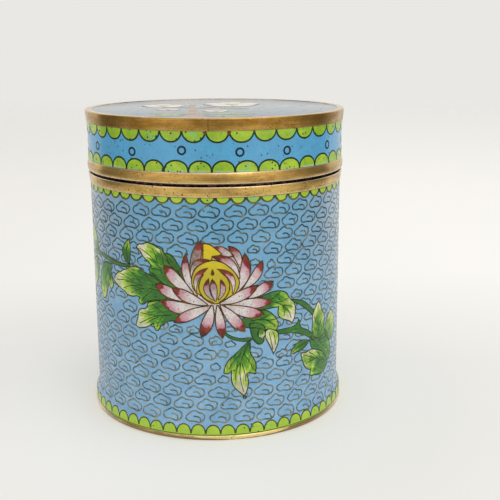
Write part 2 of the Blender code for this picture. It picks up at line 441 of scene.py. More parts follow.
def start_material(name):
    """A new material's tree and its shader, with the place of each point on the object."""
    material = bpy.data.materials.new(name)
    material.use_nodes = True
    tree = material.node_tree
    tree.nodes.clear()
    shader = add(tree, "ShaderNodeBsdfPrincipled")
    add(tree, "ShaderNodeOutputMaterial", inputs={"Surface": shader.outputs[0]})
    place = add(tree, "ShaderNodeTexCoord").outputs["Object"]
    return material, tree, shader, place


def shared(name, make):
    """The material of this name, made first where it is missing."""
    return bpy.data.materials.get(name) or make()


def finish_surface(tree, shader, surface, depth, metallic=0.0):
    """Joins a surface effect's colour, roughness and height to the shader."""
    tree.links.new(surface.outputs["Colour"], shader.inputs["Base Color"])
    tree.links.new(surface.outputs["Roughness"], shader.inputs["Roughness"])
    bump = add(tree, "ShaderNodeBump", inputs={
        "Height": surface.outputs["Height"], "Distance": depth, "Strength": 1.0})
    tree.links.new(bump.outputs[0], shader.inputs["Normal"])
    shader.inputs["Metallic"].default_value = metallic


def enamel(name, colour_of, mottle_colour, mottle=0.5, speck=(0.05, 0.06, 0.05, 1.0), share=0.03, scale=900.0,
           depth=0.012, size=0.36, shine=1.5):
    """An enamel material. colour_of takes the tree and the place, and returns a colour or a socket."""
    material, tree, shader, place = start_material(name)
    surface = add(tree, "ShaderNodeGroup", node_tree=enamel_group(), inputs={
        "Place": place, "Colour": colour_of(tree, place), "Mottle Colour": mottle_colour, "Mottle": mottle,
        "Speck Colour": speck, "Speck Share": share, "Speck Scale": scale, "Speck Size": size})
    finish_surface(tree, shader, surface, depth * MM)
    shader.inputs["IOR"].default_value = shine
    return material


# Linear colours of painted highlights and reflections on the brass, of the painted highlight on the rim on
# top, and of painted shade in the grooves and joins
PAINTED_HIGHLIGHT = (0.87, 0.71, 0.59, 1.0)
PALE_PAINTED_HIGHLIGHT = (0.52, 0.44, 0.385, 1.0)
PAINTED_SHADE = (0.005, 0.004, 0.003, 1.0)


def brass(name, stain=0.5, pits=1.0, bright=None, tarnish=None, flecks=0.4, brown_share_of=None, painted_highlight_of=None,
          painted_shade_of=None, painted_highlight=PAINTED_HIGHLIGHT):
    """A brass material. Its last functions give brown tarnish, painted highlights and painted shade that
    change over a ring.
    """
    colours = bpy.context.scene.caddy_colours
    material, tree, shader, place = start_material(name)
    bright = bright or tuple(colours.brass_bright)
    tarnish = tarnish or tuple(colours.brass_tarnish)
    # Painted highlights and painted shade are mixed into both brass colours
    for mask_of, cover in ((painted_highlight_of, painted_highlight), (painted_shade_of, PAINTED_SHADE)):
        if mask_of:
            mask = mask_of(tree, place)
            bright = blend(tree, mask, bright, cover)
            tarnish = blend(tree, mask, tarnish, cover)
    surface = add(tree, "ShaderNodeGroup", node_tree=brass_group(), inputs={
        "Place": place, "Bright": bright, "Tarnish": tarnish,
        "Stain": brown_share_of(tree, place) if brown_share_of else stain, "Pits": pits, "Grain": flecks})
    finish_surface(tree, shader, surface, 0.01 * MM, 1.0)
    shader.inputs["Coat Weight"].default_value = 0.22
    shader.inputs["Coat Roughness"].default_value = 0.25
    return material


# Making pieces


def linked(name, data):
    """A new object, linked to the scene."""
    thing = bpy.data.objects.new(name, data)
    bpy.context.scene.collection.objects.link(thing)
    return thing


def mesh_from(work, name):
    """Ends a bmesh and gives its mesh."""
    mesh = bpy.data.meshes.new(name)
    work.to_mesh(mesh)
    work.free()
    return mesh


def new_piece(name, mesh, material, replaced=()):
    """Puts a finished mesh in the scene as a piece of the caddy."""
    piece = linked(name, mesh)
    mesh.materials.append(material)
    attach(piece, "root")
    if replaced:
        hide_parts(*replaced)
    return piece


def turned(name, outline, material, replaced, solid_of_ring=True, steps=360):
    """Spins corners of (radius, height, rounding), in millimetres, into a ring or a disc."""
    work = bmesh.new()
    corners = [work.verts.new((radius, 0.0, height)) for radius, height, _ in outline]
    edges = [work.edges.new(pair) for pair in zip(corners, corners[1:])]
    if solid_of_ring:
        edges.append(work.edges.new((corners[-1], corners[0])))
    bmesh.ops.spin(
        work, geom=corners + edges, cent=(0.0, 0.0, 0.0), axis=(0.0, 0.0, 1.0), dvec=(0.0, 0.0, 0.0),
        angle=2.0 * math.pi, steps=steps, use_merge=True,
    )
    bmesh.ops.remove_doubles(work, verts=work.verts, dist=0.001)
    bmesh.ops.recalc_face_normals(work, faces=work.faces)
    for radius, height, rounding in outline:
        if rounding:
            rim = [edge for edge in work.edges if all(
                abs(vert.co.xy.length - radius) < 0.01 and abs(vert.co.z - height) < 0.01
                for vert in edge.verts)]
            bmesh.ops.bevel(
                work, geom=rim, offset=rounding, offset_type="OFFSET", segments=4, profile=0.5,
                affect="EDGES", material=-1,
            )
    for face in work.faces:
        face.smooth = True
    for edge in work.edges:
        edge.smooth = edge.calc_face_angle(0.0) < math.radians(38.0)
    bmesh.ops.scale(work, vec=(MM, MM, MM), verts=work.verts)
    return new_piece(name, mesh_from(work, name), material, replaced)


def sharp_turns(points, closed):
    """For each point, whether the drawn line turns sharply there."""
    count = len(points)
    turns = []
    for index, point in enumerate(points):
        if not closed and index in (0, count - 1):
            turns.append(False)
            continue
        here = Vector(point[:2])
        before = here - Vector(points[index - 1][:2])
        after = Vector(points[(index + 1) % count][:2]) - here
        turns.append(before.length > 0.0 and after.length > 0.0 and before.angle(after) > math.radians(62.0))
    return turns


def drawn(lines, closed, resolution=3, thickness=0.0, section=None):
    """Draws smooth lines through points as one flat curve, and returns its mesh in millimetres."""
    curve = bpy.data.curves.new("drawing", "CURVE")
    curve.dimensions = "2D"
    curve.resolution_u = resolution
    curve.fill_mode = "BOTH" if thickness else "NONE"
    curve.extrude = 0.5 * thickness
    if section:
        curve.bevel_mode = "OBJECT"
        curve.bevel_object = section
        curve.use_fill_caps = True
    for points in lines:
        spline = curve.splines.new("BEZIER")
        spline.bezier_points.add(len(points) - 1)
        spline.use_cyclic_u = closed
        for knot, point, sharp in zip(spline.bezier_points, points, sharp_turns(points, closed)):
            knot.co = (point[0], point[1], 0.0)
            knot.handle_left_type = knot.handle_right_type = "VECTOR" if sharp else "AUTO"
    drawing = linked("drawing", curve)
    graph = bpy.context.evaluated_depsgraph_get()
    mesh = bpy.data.meshes.new_from_object(drawing.evaluated_get(graph))
    bpy.data.objects.remove(drawing)
    bpy.data.curves.remove(curve)
    return mesh


class Inlay:
    """Gathers flat fields or wires that are laid on one ground, for a single piece."""

    def __init__(self, ground):
        self.ground = ground
        self.work = bmesh.new()
        self.work.verts.layers.float_vector.new("place")

    def gather(self, drawing, level, step, place_of=None):
        """Cuts a flat drawing into strips, lays it on the ground and adds it to the piece."""
        flat = bmesh.new()
        flat.from_mesh(drawing)
        bpy.data.meshes.remove(drawing)
        bmesh.ops.remove_doubles(flat, verts=flat.verts, dist=0.0005)
        if step:
            for axis in (0, 1):
                values = [vert.co[axis] for vert in flat.verts]
                low, high = min(values), max(values)
                cuts = int((high - low) / step)
                for index in range(1, cuts + 1):
                    point = [0.0, 0.0, 0.0]
                    normal = [0.0, 0.0, 0.0]
                    point[axis] = low + (high - low) * index / (cuts + 1)
                    normal[axis] = 1.0
                    geometry = flat.verts[:] + flat.edges[:] + flat.faces[:]
                    bmesh.ops.bisect_plane(flat, geom=geometry, dist=0.0001, plane_co=point, plane_no=normal)
        layer = flat.verts.layers.float_vector.new("place")
        for vert in flat.verts:
            if place_of:
                vert[layer] = place_of(vert.co.x, vert.co.y)
            vert.co = laid(self.ground, vert.co.x, vert.co.y, level + vert.co.z)
        for face in flat.faces:
            face.smooth = True
        mesh = mesh_from(flat, "laid")
        self.work.from_mesh(mesh)
        bpy.data.meshes.remove(mesh)

    def field(self, outline, level, place_of=None, resolution=3, thickness=FIELD_DEPTH, step=GROUND_STEP):
        """Adds a flat field with its top at a level above the ground."""
        drawing = drawn([outline], True, resolution, thickness)
        self.gather(drawing, level - 0.5 * thickness, step, place_of)

    def wires(self, lines, level, width, closed=True, resolution=3):
        """Adds wires, flat on top and pointed below, along lines."""
        section_curve = bpy.data.curves.new("section", "CURVE")
        section_curve.dimensions = "2D"
        edge = section_curve.splines.new("POLY")
        edge.points.add(2)
        for knot, corner in zip(edge.points, ((-0.5 * width, 0.0), (0.5 * width, 0.0), (0.0, -0.5 * width))):
            knot.co = (*corner, 0.0, 1.0)
        edge.use_cyclic_u = True
        section = linked("section", section_curve)
        drawing = drawn(lines, closed, resolution, section=section)
        bpy.data.objects.remove(section)
        bpy.data.curves.remove(section_curve)
        self.gather(drawing, level, None)

    def finish(self, name, material):
        """Makes the gathered shapes one piece, shaded as part of the polished ground."""
        mesh = mesh_from(self.work, name)
        mesh.update()
        normals = [Vector((0.0, 0.0, 0.0))] * len(mesh.loops)
        for face in mesh.polygons:
            if face.normal.dot(ground_normal(self.ground, face.center)) > 0.7:
                for loop in face.loop_indices:
                    point = mesh.vertices[mesh.loops[loop].vertex_index].co
                    normals[loop] = ground_normal(self.ground, point)
        mesh.normals_split_custom_set(normals)
        return new_piece(name, mesh, material)


def edged(fields, wires, outline, proud, width, place_of=None):
    """Adds a field with a wire round it."""
    fields.field(outline, proud, place_of)
    wires.wires([outline], proud + WIRE_RISE, width)


def round_points(centre, radius, step=45, squash=1.0):
    """Points of a circle, or of an oval lower than it is wide."""
    turns = [math.radians(angle) for angle in range(0, 360, step)]
    return [(centre[0] + radius * math.cos(turn), centre[1] + squash * radius * math.sin(turn))
            for turn in turns]


# Rings and coats


def ring_outlines(rounding):
    """Corners of the four brass rings, drawn out to meet the coats that they hold."""
    groove = MOUTH_HIGH - GROOVE_DEPTH
    return {
        "foot_ring": [
            (BASE_RADIUS + JOIN, FOOT_LOW, 0.15), (FOOT_RADIUS, FOOT_LOW, rounding),
            (FOOT_RADIUS, FOOT_HIGH + JOIN, rounding), (BASE_RADIUS + JOIN, FOOT_HIGH + JOIN, 0.0)],
        "mouth_ring": [
            (MOUTH_INSIDE, MOUTH_LOW - JOIN, 0.0), (MOUTH_FOOT_RADIUS, MOUTH_LOW - JOIN, 0.12),
            (MOUTH_RADIUS, groove, rounding), (GROOVE_RADIUS, groove, 0.0),
            (GROOVE_RADIUS, MOUTH_HIGH, 0.0), (MOUTH_INSIDE, MOUTH_HIGH, 0.2)],
        "lid_rim_ring": [
            (RIM_INSIDE, RIM_LOW, 0.2), (RIM_EDGE_RADIUS, RIM_LOW, rounding),
            (RIM_SIDE_RADIUS, RIM_CROWN - RIM_CROWN_HALF, 0.0), (RIM_RADIUS, RIM_CROWN, 0.0),
            (RIM_SIDE_RADIUS, RIM_CROWN + RIM_CROWN_HALF, 0.0), (RIM_TOP_RADIUS, RIM_HIGH + JOIN, 0.1),
            (RIM_INSIDE, RIM_HIGH + JOIN, 0.0)],
        "lid_top_ring": [
            (TOP_INSIDE, LID_HIGH + JOIN, 0.0), (TOP_EDGE_RADIUS, LID_HIGH + JOIN, 0.08),
            (TOP_RADIUS, TOP_HIGH, rounding), (DISC_RADIUS + JOIN, TOP_HIGH, 0.08),
            (DISC_RADIUS + JOIN, DISC_LOW, 0.0), (TOP_INSIDE, DISC_LOW, 0.0)],
    }


class CADDY_OT_rings(bpy.types.Operator):
    """Make the brass rings of the foot, the mouth, the lid's rim and the lid's top"""

    bl_idname = "caddy.rings"
    bl_label = "Brass Rings"

    def execute(self, context):
        outlines = ring_outlines(context.scene.caddy_sizes.ring_rounding / MM)

        def foot_painted_light(tree, place):
            # Painted shade: the ring is browner along its bottom edge, standing in for its contact shadow
            low = by_height(tree, place, 0.35, 0.75, 0.5, 0.0)
            share = spread(tree, side_distance(tree, place), -60.0, 60.0)
            # Painted highlight and reflections round the ring: least brown just right of the front, where a
            # lamp's highlight falls, and browner towards the sides
            levels = [(0.0, 0.1), (0.12, 0.25), (0.22, 0.7), (0.40, 0.62), (0.50, 0.25), (0.57, 0.0),
                      (0.64, 0.35), (0.70, 0.9), (0.80, 0.8), (0.9, 0.3)]
            around = ramp(tree, share, [(position, (amount, amount, amount, 1.0))
                                        for position, amount in levels])
            return reckon(tree, "ADD", around, low)

        def foot_side_reflection(tree, place):
            # Painted reflection: the ring turns pale towards the sides, where it mirrors the pale paper
            away = reckon(tree, "ABSOLUTE", side_distance(tree, place))
            return spread(tree, away, 28.0, 46.0, 0.0, 0.7)

        def foot_join_shade(tree, place):
            # Painted shade: nearly black along the ring's top edge, where it meets the scallops
            return by_height(tree, place, FOOT_HIGH - 0.02, FOOT_HIGH + 0.12, 0.0, 0.7)

        def seam_stain(tree, place):
            beside = reckon(tree, "ABSOLUTE", reckon(tree, "ADD", side_distance(tree, place), 1.8))
            return reckon(tree, "MULTIPLY", spread(tree, beside, 0.08, 0.2, 1.5, 0.5),
                          by_height(tree, place, TOP_HIGH - 0.3, TOP_HIGH - 0.1, 1.0, 0.0))

        def top_rim_highlight(tree, place):
            # Painted highlight: a broken pale band along the top of the rim
            worn = spread(tree, grain(tree, place, 260.0, 3.0), 0.44, 0.58, 0.35, 1.0)
            return reckon(tree, "MULTIPLY", worn, by_height(tree, place, TOP_HIGH - 0.22, TOP_HIGH - 0.04))

        def mouth_edge_highlights(tree, place):
            # Painted highlights: pale lines along the ring's upper and lower edges
            upper = by_height(tree, place, MOUTH_HIGH - 0.75, MOUTH_HIGH - 0.45, 0.0, 0.6)
            return reckon(tree, "ADD", upper,
                          by_height(tree, place, MOUTH_LOW + 0.05, MOUTH_LOW + 0.3, 0.4, 0.0))

        def mouth_groove_shade(tree, place):
            # Painted shade: nearly black in the groove under the lid's rim
            inner = spread(tree, axis_distance(tree, place), (MOUTH_RADIUS - 0.42) * MM,
                           (MOUTH_RADIUS - 0.22) * MM, 1.0, 0.0)
            return reckon(tree, "MULTIPLY", inner,
                          by_height(tree, place, MOUTH_HIGH - 0.5, MOUTH_HIGH - 0.36))

        def rim_edge_highlights(tree, place):
            # Painted highlights: pale lines along the rim's lower and upper edges
            lower = by_height(tree, place, RIM_LOW + 0.3, RIM_LOW + 0.6, 0.6, 0.0)
            return reckon(tree, "ADD", lower,
                          by_height(tree, place, RIM_HIGH - 0.3, RIM_HIGH - 0.1, 0.0, 0.4))

        def rim_gap_shade(tree, place):
            # Painted shade: nearly black along the rim's bottom edge, over the gap to the mouth ring
            return by_height(tree, place, RIM_LOW + 0.08, RIM_LOW + 0.22, 1.0, 0.0)

        finishes = {
            "foot_ring": brass("Foot brass", 0.5, 0.5, (0.86, 0.70, 0.31, 1.0), (0.30, 0.20, 0.07, 1.0), 0.3,
                               foot_painted_light, foot_side_reflection, foot_join_shade),
            "mouth_ring": brass("Mouth brass", 0.48, 1.0, (0.66, 0.455, 0.13, 1.0), (0.37, 0.23, 0.05, 1.0),
                                0.85, None, mouth_edge_highlights, mouth_groove_shade),
            "lid_rim_ring": brass("Rim brass", 0.48, 0.8, (0.60, 0.41, 0.12, 1.0), (0.34, 0.20, 0.05, 1.0),
                                  0.5, None, rim_edge_highlights, rim_gap_shade),
            "lid_top_ring": brass("Top brass", 0.5, 0.7, (0.46, 0.28, 0.06, 1.0), (0.26, 0.135, 0.012, 1.0),
                                  0.5, seam_stain, top_rim_highlight, None, PALE_PAINTED_HIGHLIGHT),
        }
        for node, outline in outlines.items():
            turned(node + "_brass", outline, finishes[node], [node])
        return {"FINISHED"}


class CADDY_OT_inner_metal(bpy.types.Operator):
    """Give the can, the collar and the lid's cap their copper and brass"""

    bl_idname = "caddy.inner_metal"
    bl_label = "Inner Metal"

    def execute(self, context):
        copper = brass("Dull copper", 0.5, 0.6, (0.62, 0.30, 0.17, 1.0), (0.25, 0.12, 0.07, 1.0))
        collar = brass("Collar brass", 0.45, 0.6)
        for node, material in (("body_can", copper), ("lid_cap", copper), ("neck_collar", collar)):
            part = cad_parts[node]
            if not part.material_slots:
                part.data.materials.append(None)
            for slot in part.material_slots:
                slot.material = material
        return {"FINISHED"}


class CADDY_OT_coats(bpy.types.Operator):
    """Make the blue enamel coats of the body, the base and the lid"""

    bl_idname = "caddy.coats"
    bl_label = "Enamel Coats"

    def execute(self, context):
        colours = context.scene.caddy_colours
        deep = tint(76, 138, 182)

        def uneven(tree, place, colour):
            tone = spread(tree, grain(tree, place, 1100.0, 3.0, 0.65), 0.36, 0.64)
            hue = blend(tree, tone, (0.84, 0.96, 0.94, 1.0), (1.18, 1.03, 1.04, 1.0))
            return blend(tree, 1.0, colour, hue, "MULTIPLY")

        def body_colour(tree, place):
            # Painted light: the ground is lighter towards the foot, standing in for light bounced up from the
            # floor
            colour = blend(tree, by_height(tree, place, 20.0, 66.0),
                           tuple(colours.body_low), tuple(colours.body_high))
            # Painted reflection: the ground turns greyer high on the sides, standing in for the sheen
            # mirrored there
            away = reckon(tree, "ABSOLUTE", side_distance(tree, place))
            beside = reckon(tree, "MULTIPLY", spread(tree, away, 20.0, 38.0, 0.0, 1.0),
                            spread(tree, away, 46.0, 74.0, 1.0, 0.3))
            side_sheen = reckon(tree, "MULTIPLY", beside, by_height(tree, place, 36.0, 58.0, 0.3, 1.0))
            return uneven(tree, place, blend(tree, side_sheen, colour, tint(152, 178, 198)))

        def lid_colour(tree, place):
            return uneven(tree, place, tuple(colours.lid_blue))

        body = enamel("Body enamel", body_colour, deep, 0.45, tint(50, 66, 70), 0.02, 900.0, shine=1.6)
        lid = enamel("Lid enamel", lid_colour, deep, 0.35, tint(34, 52, 60), 0.07, 1350.0, shine=1.6)
        top = enamel("Top enamel", lambda tree, place: tuple(colours.top_blue), deep, 0.4, tint(40, 62, 70),
                     0.03, 900.0, 0.006, shine=1.6)
        top.node_tree.nodes["Principled BSDF"].inputs["Coat Weight"].default_value = 0.12

        flare = []
        for index in range(1, 10):
            height = FLARE_LOW + (FLARE_HIGH - FLARE_LOW) * index / 10.0
            flare.append((body_radius(height), height, 0.0))
        inner = BODY_RADIUS - COAT_THICKNESS
        low, high = BODY_LOW - JOIN, BODY_HIGH + JOIN
        turned("body_coat", [(inner, low, 0.0), (FLARE_RADIUS, low, 0.0), (FLARE_RADIUS, FLARE_LOW, 0.0),
                             *flare, (BODY_RADIUS, FLARE_HIGH, 0.0), (BODY_RADIUS, high, 0.0),
                             (inner, high, 0.0)],
               body, ["body_enamel"])
        low, high = LID_LOW - JOIN, LID_HIGH + JOIN
        waist = [(lid_radius(low + (high - low) * index / 10.0), low + (high - low) * index / 10.0, 0.0)
                 for index in range(11)]
        inner = LID_RADIUS - COAT_THICKNESS
        turned("lid_side_coat", [(inner, low, 0.0), *waist, (inner, high, 0.0)], lid,
               ["lid_side_enamel"])
        radius = DISC_RADIUS + JOIN
        turned("lid_top_coat", [(0.0, DISC_LOW, 0.0), (radius, DISC_LOW, 0.0), (radius, DISC_HIGH, 0.06),
                                (0.0, DISC_HIGH, 0.0)], top, ["lid_top_enamel"], False)
        radius = BASE_RADIUS + JOIN
        turned("base_coat", [(0.0, BASE_LOW, 0.0), (radius, BASE_LOW, 0.0), (radius, BASE_HIGH, 0.0),
                             (0.0, BASE_HIGH, 0.0)], body, ["base_enamel"], False)
        return {"FINISHED"}


# Scallops and lid circles


ROUND_ARC = [(1.0, 0.0), (0.93, 0.42), (0.64, 0.80)]
NARROW_ARC = [(1.0, 0.0), (0.95, 0.25), (0.80, 0.57), (0.50, 0.87)]
BELL_ARC = [(1.0, 0.0), (0.97, 0.28), (0.84, 0.60), (0.50, 0.89)]


def scallop(left, right, base, tip, share=1.0, arc=ROUND_ARC):
    """Outline of a half-round scallop between two cusps, with its straight side at base."""
    half = 0.5 * share * (right - left)
    middle = 0.5 * (right + left)
    rise = tip - base
    whole = [(-x, y) for x, y in arc] + [(0.0, 1.0)] + arc[::-1]
    return [(middle + half * x, base + rise * y) for x, y in whole]


def scallop_edges(first, count, around):
    """Evenly spaced cusps round a ring, starting from one."""
    return [first + around * index / count for index in range(count + 1)]


# Where the rows stand: the first cusp and their number, or the front cusps, and the heights of bases and tips
FOOT_FIRST, FOOT_COUNT, FOOT_BASE, FOOT_TIPS = -3.60, 58, 1.85, 4.35
MOUTH_FIRST, MOUTH_COUNT, MOUTH_TIPS = -4.36, 57, 65.75
LID_LOWER_TIPS, LID_UPPER_TIPS, LID_PITCH = 76.95, 81.8, 6.16
LID_LOWER_CUSPS = [-31.0, -25.5, -19.5, -13.7, -7.1, -1.0, 5.0, 11.2, 17.3, 23.8, 29.7, 36.7]
LID_UPPER_CUSPS = [-39.0, -33.2, -27.0, -20.9, -14.7, -8.7, -2.5, 3.5, 10.1, 16.3, 22.7, 28.7, 35.3]


def closed_round(cusps):
    """Carries the lid's front cusps on round the back in even steps."""
    rest = AROUND_LID - (cusps[-1] - cusps[0])
    count = round(rest / LID_PITCH)
    return cusps + [cusps[-1] + rest * index / count for index in range(1, count + 1)]


class CADDY_OT_scallops(bpy.types.Operator):
    """Make the four rows of green scallops and their wires"""

    bl_idname = "caddy.scallops"
    bl_label = "Scallops"

    def execute(self, context):
        colours = context.scene.caddy_colours
        width = context.scene.caddy_sizes.scallop_wire_width / MM
        seed = random.Random(11)
        # Each band is (cusps, base, tips, height of an edge with a painted highlight along it or 0 for none,
        # arc)
        rows = {
            "foot": [
                (scallop_edges(FOOT_FIRST, FOOT_COUNT, AROUND_BODY), FOOT_BASE, FOOT_TIPS, FOOT_HIGH,
                 BELL_ARC)],
            "mouth": [
                (scallop_edges(MOUTH_FIRST, MOUTH_COUNT, AROUND_BODY), MOUTH_LOW + 0.1, MOUTH_TIPS, 0.0,
                 ROUND_ARC)],
            "lid": [
                (closed_round(LID_LOWER_CUSPS), LID_LOW - 0.1, LID_LOWER_TIPS, LID_LOW, ROUND_ARC),
                (closed_round(LID_UPPER_CUSPS), LID_HIGH + 0.1, LID_UPPER_TIPS, 0.0, NARROW_ARC)],
        }

        def green(tree, place):
            parts = apart(tree, field_place(tree))
            colour = blend(tree, parts["Z"], tuple(colours.scallop_green), tint(174, 208, 56))
            tipped = spread(tree, reckon(tree, "ADD", parts["X"], spread(
                tree, grain(tree, place, 700.0, 3.0), 0.3, 0.7, -0.3, 0.3)), 0.6, 1.1, 0.0, 0.6)
            colour = blend(tree, tipped, colour, tint(196, 196, 66))
            # Painted highlight: a broken pale line along the row's lower edge
            edge = reckon(tree, "MULTIPLY", spread(tree, parts["Y"], 0.15, 0.5, 1.0, 0.0), spread(
                tree, grain(tree, place, 130.0, 2.0), 0.48, 0.58, 0.0, 0.85))
            colour = blend(tree, edge, colour, tint(186, 218, 186))
            blots = spread(tree, grain(tree, place, 170.0, 3.0, 0.55), 0.60, 0.68, 0.0, 0.55)
            return blend(tree, blots, colour, tint(112, 196, 140))

        def brown_tips(tree, place):
            return by_height(tree, place, 65.7, 66.6, 0.34, 0.64)

        body = enamel("Body scallop enamel", green, tint(120, 168, 40), 0.4, tint(34, 50, 18), 0.12, 1300.0)
        lid = enamel("Lid scallop enamel", green, tint(104, 152, 24), 0.6, tint(12, 18, 6), 0.23, 1300.0,
                     size=0.40)
        # Each row's ground, enamel, wire, share of the wire width and share of the way between cusps
        finishes = {
            "foot": ("body", body, wire_finish("Foot scallop wire", tint(88, 94, 40), tint(34, 46, 18)),
                     0.78, 0.95),
            "mouth": ("body", body, wire_finish("Mouth scallop wire", tint(112, 104, 44), tint(46, 60, 24),
                                                brown_share_of=brown_tips), 1.15, 0.90),
            "lid": ("lid", lid, wire_finish("Lid scallop wire", tint(14, 60, 24), tint(6, 34, 8)), 1.1, 0.99),
        }
        # Each row's dark marks in the cusps: half width, outline, least and greatest height
        cusp_marks = {
            "foot": (0.27, [(-0.6, 0.1), (-1.0, 0.5), (0.0, 1.0), (1.0, 0.5), (0.6, 0.1)], 0.9, 1.3),
            "mouth": (0.60, [(-1.0, 0.0), (-0.6, 0.5), (0.0, 1.0), (0.6, 0.5), (1.0, 0.0)], 0.9, 1.4),
            "lid": (0.36, [(-1.0, 0.0), (-0.4, 0.5), (0.0, 1.0), (0.4, 0.5), (1.0, 0.0)], 0.5, 1.0),
        }
        brighter = {"foot": 0.9, "mouth": 0.5, "lid": 0.0}
        for row, bands in rows.items():
            ground, material, wire, share, breadth = finishes[row]
            wide, mark, shortest, longest = cusp_marks[row]
            fields = Inlay(ground)
            lines = Inlay(ground)
            arcs = []
            for cusps, base, tip, edge, arc in bands:
                for left, right in zip(cusps, cusps[1:]):
                    lift = seed.uniform(-0.12, 0.12)
                    outline = scallop(left, right, base, tip + lift, breadth, arc)
                    tone = seed.random() + brighter[row]

                    def place_of(x, y):
                        return ((y - base) / (tip - base), abs(y - edge), tone)

                    fields.field(outline, SCALLOP_LEVEL, place_of, 4)
                    if row == "foot":
                        fields.field([(left, FOOT_HIGH), (right, FOOT_HIGH), (right, base + 0.06),
                                      (left, base + 0.06)], SCALLOP_BAND_LEVEL, place_of)
                    arcs.append(outline)
                    size = math.copysign(seed.uniform(shortest, longest), tip - base)
                    lines.field([(left + wide * x, base + size * y) for x, y in mark], CUSP_LEVEL)
            lines.wires(arcs, SCALLOP_WIRE_LEVEL, share * width, False, 4)
            if row != "lid":
                height = FOOT_HIGH + 0.30 if row == "foot" else MOUTH_LOW - 0.14
                ring = [(AROUND_BODY * (index / 120.0 - 0.5), height) for index in range(121)]
                lines.wires([ring], CUSP_LEVEL, 0.22, False, 1)
            fields.finish(row + "_scallops", material)
            lines.finish(row + "_scallop_wires", wire)
        fills = Inlay("lid")
        for across, tip in ((-2.7, 83.65), (3.5, 83.35)):
            fills.field([(across - 0.6, LID_HIGH), (across - 0.35, LID_HIGH - 0.5), (across, tip),
                         (across + 0.35, LID_HIGH - 0.5), (across + 0.6, LID_HIGH)], GAP_LEVEL)
        fills.finish("lid_gap_fills", wire_finish("Brown gap", tint(134, 84, 40), tint(74, 44, 20)))
        return {"FINISHED"}


# Circles on the lid's front, then their radius, their wire and the steps that carry them on round the back
LID_CIRCLES = [(-39.4, 79.0), (-23.5, 78.8), (-8.8, 79.7), (6.3, 79.2), (19.7, 79.0), (36.1, 79.1)]
CIRCLE_RADIUS = 0.98
CIRCLE_WIRE = 0.5
CIRCLES_BEHIND = 11


class CADDY_OT_lid_circles(bpy.types.Operator):
    """Make the small wire circles round the lid's side"""

    bl_idname = "caddy.lid_circles"
    bl_label = "Lid Circles"

    def execute(self, context):
        last, height = LID_CIRCLES[-1]
        rest = AROUND_LID - (last - LID_CIRCLES[0][0])
        centres = LID_CIRCLES + [(last + rest * index / CIRCLES_BEHIND, height)
                                 for index in range(1, CIRCLES_BEHIND)]
        lines = Inlay("lid")
        lines.wires([round_points(centre, CIRCLE_RADIUS) for centre in centres], 0.03, CIRCLE_WIRE)
        lines.finish("lid_circle_wires",
                     wire_finish("Circle wire", tint(16, 44, 52), tint(14, 28, 30)))
        return {"FINISHED"}


# Flower and leaves on the body


# Petals as (level, base, tip, width, bend to the left of the way from base to tip, extra darkness)
PETALS = [
    (1, (-7.0, 46.0), (-4.2, 56.0), 2.5, 0.1, 0.02),
    (1, (6.2, 48.2), (3.1, 54.5), 2.0, -0.9, 0.04),
    (1, (6.8, 42.6), (12.3, 50.0), 2.5, -0.8, 0.0),
    (2, (-5.4, 41.0), (-8.25, 52.5), 2.1, 1.3, -0.02),
    (2, (4.2, 41.4), (7.4, 52.4), 2.9, -1.5, 0.03),
    (1, (4.4, 51.8), (-0.5, 54.3), 2.1, 0.1, -0.02),
    (3, (-6.5, 41.6), (-14.5, 49.0), 3.2, 0.5, -0.03),
    (3, (-8.0, 39.5), (-17.2, 43.4), 3.0, 0.1, -0.03),
    (3, (8.3, 40.0), (15.5, 43.95), 2.8, 0.0, 0.0),
    (4, (-3.5, 38.2), (-15.8, 38.9), 3.3, 1.1, -0.02),
    (4, (3.2, 38.7), (15.0, 38.3), 2.8, 0.0, -0.02),
    (5, (-1.6, 38.2), (-11.9, 33.3), 2.8, -0.2, 0.03),
    (5, (2.0, 38.4), (12.8, 35.1), 3.0, -0.4, -0.02),
    (6, (0.8, 38.5), (7.3, 30.8), 3.0, 0.0, 0.0),
    (6, (-1.4, 38.4), (-4.4, 29.6), 3.0, 0.3, 0.10),
    (7, (0.0, 38.4), (1.25, 29.3), 2.5, 0.0, 0.05),
    (7, (-2.8, 38.6), (-12.2, 42.8), 2.9, 0.3, 0.0),
    (7, (0.6, 38.8), (10.95, 43.3), 2.7, -0.4, 0.0),
    (5, (-6.9, 46.0), (-1.5, 50.7), 1.5, 2.0, 0.06),
    (5, (5.9, 45.6), (-1.2, 51.8), 2.0, -1.7, 0.0),
    (6, (-5.6, 42.2), (-2.5, 48.7), 1.4, 1.4, 0.08),
    (6, (4.1, 41.6), (0.1, 48.4), 1.5, -1.9, 0.06),
    (8, (-0.9, 39.9), (-2.3, 45.8), 1.5, 1.2, 0.03),
    (8, (0.2, 40.0), (0.95, 45.5), 1.4, -0.9, 0.03),
    (9, (-0.5, 39.6), (-1.3, 45.6), 1.7, 0.0, 0.02),
]

# White grounds behind the petals, round the hub and in the crown
PETAL_GROUNDS = [
    [(-8.4, 40.4), (-7.0, 42.4), (-4.6, 41.6), (-2.0, 39.8), (1.0, 39.8), (3.4, 41.2), (5.6, 42.4),
     (9.0, 40.8), (6.0, 38.9), (5.0, 37.7), (3.0, 36.9), (0.9, 36.3), (-1.2, 36.5), (-3.4, 36.9),
     (-5.2, 37.9), (-6.0, 38.9)],
    [(-6.9, 45.0), (-6.7, 49.0), (-4.4, 52.6), (-2.0, 52.4), (1.0, 53.6), (4.0, 53.2), (5.8, 51.0),
     (6.6, 47.0), (6.2, 44.0), (0.0, 43.0)],
]

